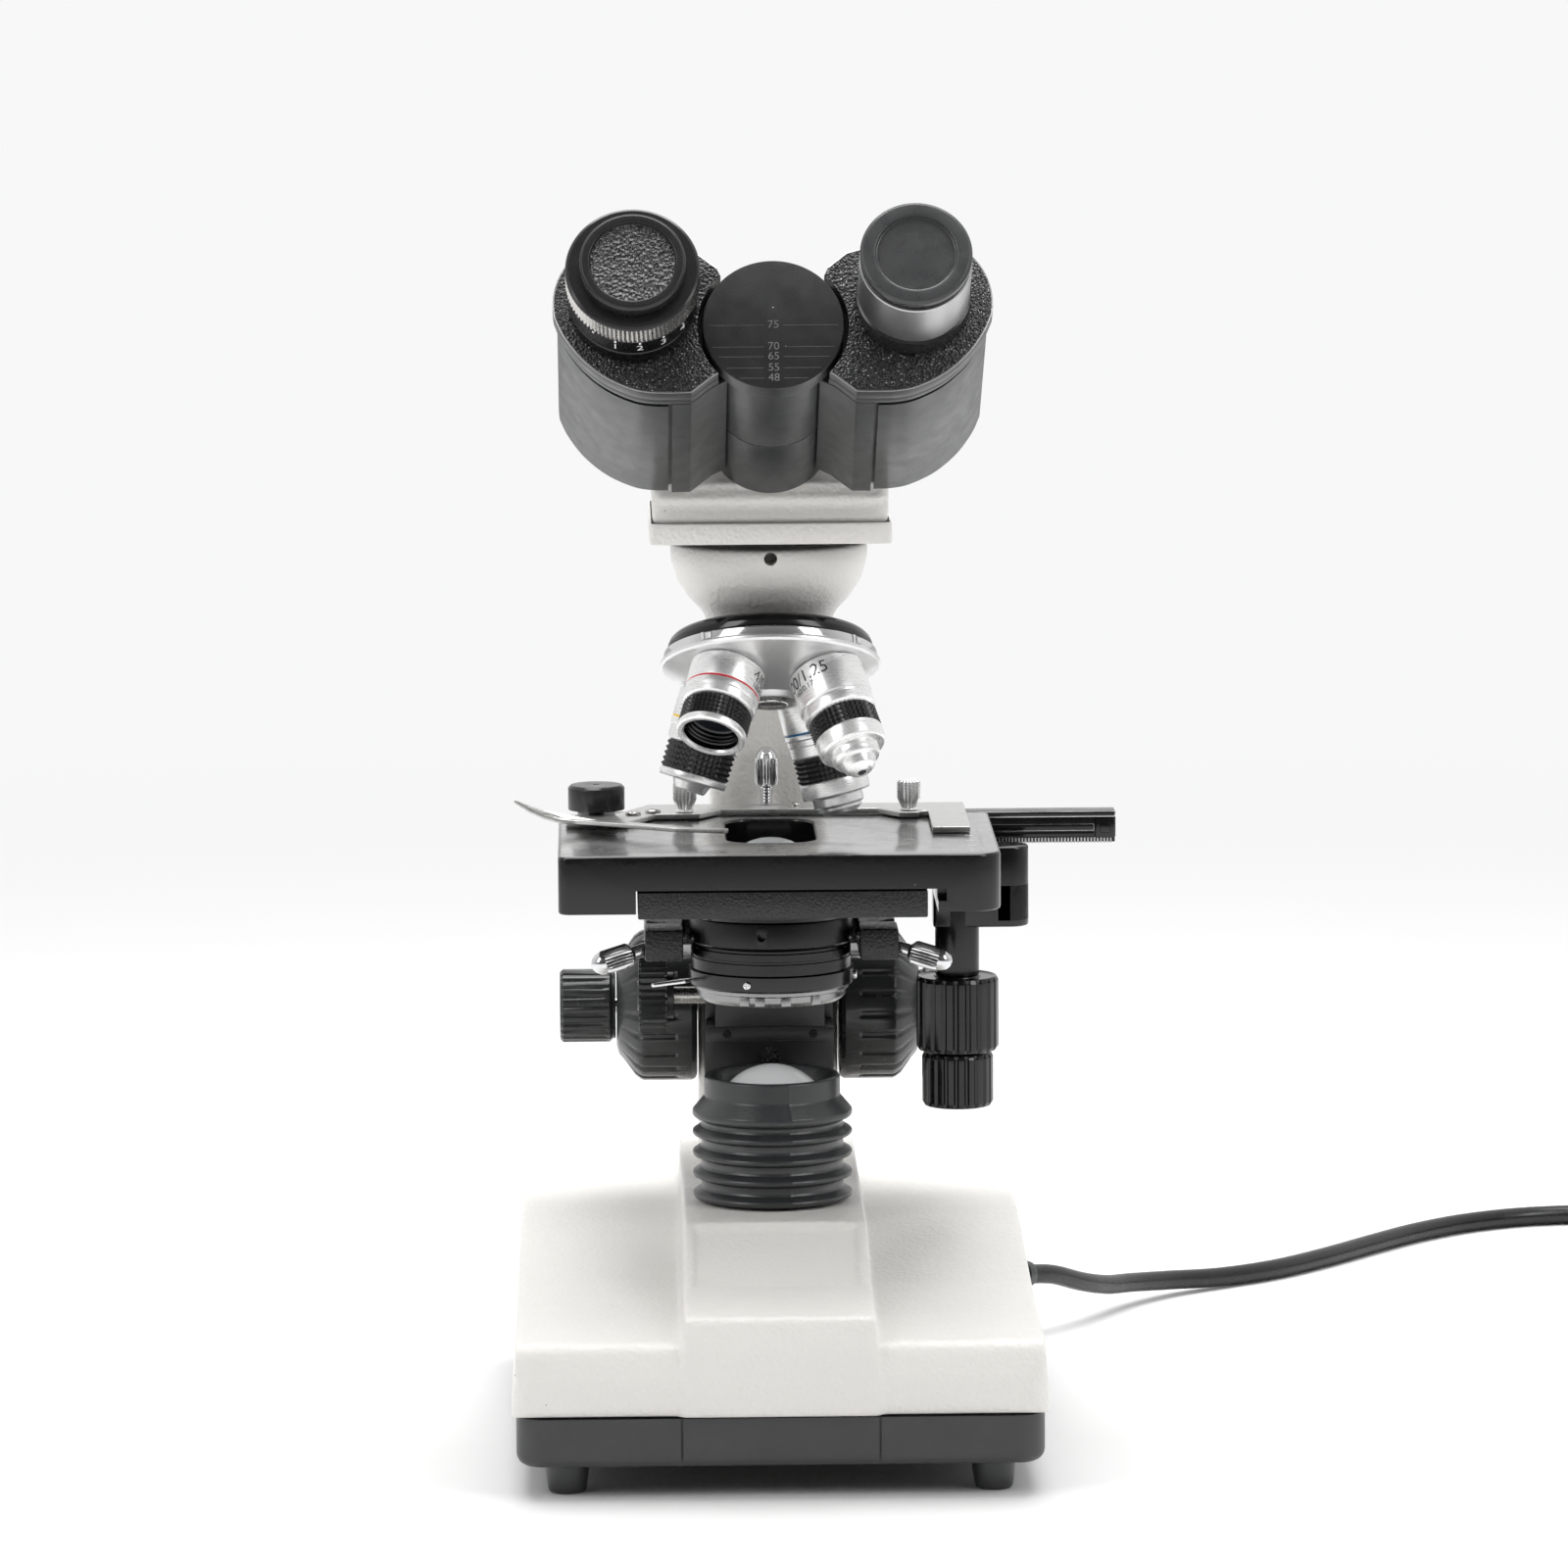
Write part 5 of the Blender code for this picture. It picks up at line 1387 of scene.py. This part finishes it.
def make_scale_disc():
    """Disc over the hinge with the eye spacing scale engraved on it, the engraving drawn in
    painted shade and painted highlight, with painted shadow under the disc.
    """
    spacer = 16.6
    # Below the disc's side, its underside and spacer take the black as painted shadow in the gap
    # over the knuckle.
    line = [(0, DISC_TOP), (DISC_R, DISC_TOP, 4), (DISC_R, 97.0, 1), (DISC_R - 0.6, 96.4, 1),
            (spacer, 96.4, 1), (spacer, 93.4, 1), (0, 93.4, 1)]
    shape = turned(line, 144, 0.45)
    top = DISC_TOP + 0.012
    for text, w in (("75", 0), ("70", -6.6), ("65", -9.6), ("55", -13.0), ("48", -16.1)):
        reach = sqrt(DISC_R ** 2 - w ** 2) - 1.6
        for inner, outer in ((-reach, -2.7), (2.7, reach)):
            # Each line is a black strip of painted shade with a grey strip painted below it as its
            # lit edge.
            if outer - inner > 1:           # a line with a lit lower edge
                block(shape, (inner, w - 0.13, top - 0.1), (outer, w + 0.05, top), 0, 1)
                block(shape, (inner, w - 0.22, top - 0.1), (outer, w - 0.13, top), 0, 2)
        # Each number is grey over a black copy set a little lower, a painted shadow.
        for drop, look in ((0.09, 1), (0.0, 2)):
            place = upright(0, w - 0.05 - drop, top + 0.012 - drop * 0.1)
            letters(shape, text, 2.3, place, look, depth=0.004)
    for dot in (circle(0.16, 12, 0, 5.2), circle(0.14, 12, 3.4, -6.6)):
        slab(shape, dot, top - 0.02, top, material=3)
    piece("scale_disc_marked", shape, HEAD, "scale_disc",
          [DISC_BLACK, BLACK_AND_PAINTED_SHADE, GREY_INK_AND_PAINTED_EDGE, WHITE_INK, HOUSING])


def make_left_eyepiece():
    """Eye tube, knurled focusing ring with its marks, and the padded cap."""
    base = at(-EYE_X, EYE_W, PLATE_END + 0.3, base=HEAD)
    line = [(10.5, 22), (13.4, 22), (13.4, 5.7), (17.6, 5.7), (17.8, 5.3), (17.8, 0.1),
            (10.5, 0.1)]
    piece("left_tube_turned", turned(line, 128, 0.25, closed=True), base, "left_eye_tube",
          [ANODISED])
    line = [(13.8, 22.4), (17.6, 22.4), (18.2, 22.0), (18.5, 21.5), (18.5, 21.2, 1),
            (18.5, 14.4), (18.5, 14.1), (17.9, 13.7), (17.8, 13.4, 2), (17.8, 6.4),
            (17.5, 6.0), (13.8, 6.0)]
    shape = turned(divide(line, 9), 552, closed=True, wave=teeth(92, 0.42, 14.3, 21.4))
    zero, step = FRONT + 6, 22              # bearing of the mark at 2, and between marks
    for k in range(-3, 5):
        block(shape, (17.75, -0.3, 11.4), (17.85, 0.3, 13.3), 0, 3, turn(zero + k * step, "Z"))
    for number in range(1, 5):
        place = round_face(17.84, zero + (number - 2) * step, 9.1)
        letters(shape, str(number), 2.9, place, 3, depth=0.01)
    piece("diopter_ring_knurled", shape, base, "diopter_ring", [GRIP, STEEL, ANODISED, WHITE_INK],
          sharp=20)
    line = [(0, 26.2, 1), (11.6, 26.2), (12.0, 27.2), (13.9, 27.2), (14.6, 26.5), (14.6, 22.8),
            (0, 22.8)]
    piece("left_cap_padded", turned(line, 128, 0.3), base, "left_dust_cap", [GRIP, LEATHER])


def make_right_eyepiece():
    """Plain bright eye tube with a moulded cap."""
    base = at(EYE_X, EYE_W, PLATE_END + 0.3, base=HEAD)
    line = [(11.8, 26.2), (15.2, 26.2), (15.5, 25.9), (15.5, 7.4, 1), (15.2, 7.1, 1),
            (15.2, 6.7, 1), (15.9, 6.3, 1), (15.9, 0.1, 1), (11.8, 0.1, 1)]
    piece("right_tube_turned", turned(line, 128, closed=True), base, "right_eye_tube",
          [TUBE, GRIP])
    line = [(0, 30.35), (3.6, 30.3), (6.4, 30.1), (10.6, 30.1), (11.0, 30.2), (11.2, 31.3),
            (12.0, 31.4), (14.6, 31.3), (15.4, 30.6), (15.4, 28.9), (14.5, 28.5), (14.5, 26.6),
            (0, 26.6)]
    piece("right_cap_moulded", turned(line, 128, 0.3), base, "right_dust_cap", [CAP])


# ---------------------------------------------------------------- surroundings

CAMERA_PLACE = (-0.06115, -2.57274, 0.53067)
CAMERA_TURN, CAMERA_PITCH, CAMERA_ROLL = radians(-1.15), radians(7.6), radians(-0.35)
FOCAL_LENGTH, SENSOR = 207.7, 36
BACKGROUND, TABLE_TONE = (0.937, 0.937, 0.94), (0.82, 0.82, 0.82)
CLEAR, FADED = 0.30, 1.6                    # distances between which the table turns to glow


def make_camera():
    """The camera whose view was fitted to the photo's round parts."""
    back = Vector((sin(CAMERA_TURN) * cos(CAMERA_PITCH), -cos(CAMERA_TURN) * cos(CAMERA_PITCH),
                   sin(CAMERA_PITCH)))
    right = Vector((cos(CAMERA_TURN), sin(CAMERA_TURN), 0))
    up = right.cross(-back)
    tilted_right = right * cos(CAMERA_ROLL) + up * sin(CAMERA_ROLL)
    tilted_up = up * cos(CAMERA_ROLL) - right * sin(CAMERA_ROLL)
    camera = new_object("camera", bpy.data.cameras.new("camera"))
    axes = Matrix((tilted_right, tilted_up, back)).transposed().to_4x4()
    camera.matrix_world = shift(*CAMERA_PLACE) @ axes
    camera.data.sensor_width, camera.data.lens = SENSOR, FOCAL_LENGTH
    camera.data.clip_end = 60
    bpy.context.scene.camera = camera


def panel_light(name, place, size, power, aim=(0, 0, 0.1)):
    """A rectangular light that the camera doesn't see."""
    light = bpy.data.lights.new(name, "AREA")
    light.shape = "RECTANGLE"
    light.size, light.size_y = size
    light.energy = power
    obj = new_object(name, light)
    obj.location = place
    obj.rotation_euler = (Vector(place) - Vector(aim)).to_track_quat("Z", "Y").to_euler()
    obj.visible_camera = False


def make_floor():
    """A wide pale table that turns into an even glow away from the object."""
    s = Surface("floor", TABLE_TONE, 0.6, Specular_IOR_Level=0.15)
    away = s.node("VectorMath", operation="LENGTH")
    s.link(s.place, away.inputs[0])
    share = s.ramp(away.outputs["Value"], CLEAR, FADED)
    share.node.interpolation_type = "SMOOTHSTEP"
    glow, mix = s.node("Emission"), s.node("MixShader")
    glow.inputs["Color"].default_value = (*BACKGROUND, 1)
    shown = s.maths("MULTIPLY", share, s.node("LightPath").outputs["Is Camera Ray"])
    for index, source in enumerate((shown, s.shader.outputs[0], glow.outputs[0])):
        s.link(source, mix.inputs[index])
    s.link(mix.outputs[0], s.tree.nodes["Material Output"].inputs[0])
    mesh = bpy.data.meshes.new("floor")
    mesh.from_pydata([(-30, -30, 0), (30, -30, 0), (30, 30, 0), (-30, 30, 0)], [],
                     [(0, 1, 2, 3)])
    mesh.materials.append(s.material)
    new_object("floor", mesh)


def make_world():
    """Even pale surroundings to the eye; a bright back and a dimmer front as light."""
    world = bpy.data.worlds.new("studio")
    bpy.context.scene.world = world
    world.use_nodes = True
    tree = world.node_tree
    tree.nodes.clear()
    out, mix, seen, lit, path, place, split, slope = (
        tree.nodes.new("ShaderNode" + kind)
        for kind in ("OutputWorld", "MixShader", "Background", "Background", "LightPath",
                     "TexCoord", "SeparateXYZ", "MapRange"))
    seen.inputs["Color"].default_value = (0.93, 0.93, 0.932, 1)
    front_y, back_y, front_light, back_light = -0.95, 0.30, 0.08, 0.86
    for index, value in enumerate((front_y, back_y, front_light, back_light), 1):
        slope.inputs[index].default_value = value
    for source, target in ((place.outputs["Generated"], split.inputs[0]),
                           (split.outputs["Y"], slope.inputs[0]),
                           (slope.outputs[0], lit.inputs["Color"]),
                           (path.outputs["Is Camera Ray"], mix.inputs[0]),
                           (lit.outputs[0], mix.inputs[1]), (seen.outputs[0], mix.inputs[2]),
                           (mix.outputs[0], out.inputs[0])):
        tree.links.new(source, target)


def make_surroundings():
    """Camera, table, world and softboxes, with colours shown as they are."""
    make_camera()
    make_floor()
    make_world()
    panel_light("left_softbox", (-1.25, -0.95, 1.15), (0.6, 1.1), 9)
    panel_light("right_softbox", (1.25, -0.95, 1.15), (0.6, 1.1), 9)
    panel_light("top_softbox", (0, 0.2, 1.5), (1.2, 1.0), 23)
    view = bpy.context.scene.view_settings
    view.view_transform, view.look = "Standard", "None"


# ---------------------------------------------------------------- the whole object

make_cover()
make_tray()
make_back_controls()
make_lamp()
make_arm()
make_focus_knobs()
make_table()
make_dovetail()
make_stage_controls()
make_slide_carrier()
make_limit_screw()
make_rack_bar()
make_holder()
make_carrier()
make_condenser()
make_condenser_screws()
make_nosepiece()
make_head_mount()
make_wing(-1)
make_wing(1)
make_scale_disc()
make_left_eyepiece()
make_right_eyepiece()
lead, lead_start, lead_length = make_cord()
gland, plug = make_gland(), make_plug()
make_surroundings()

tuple(lead_start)
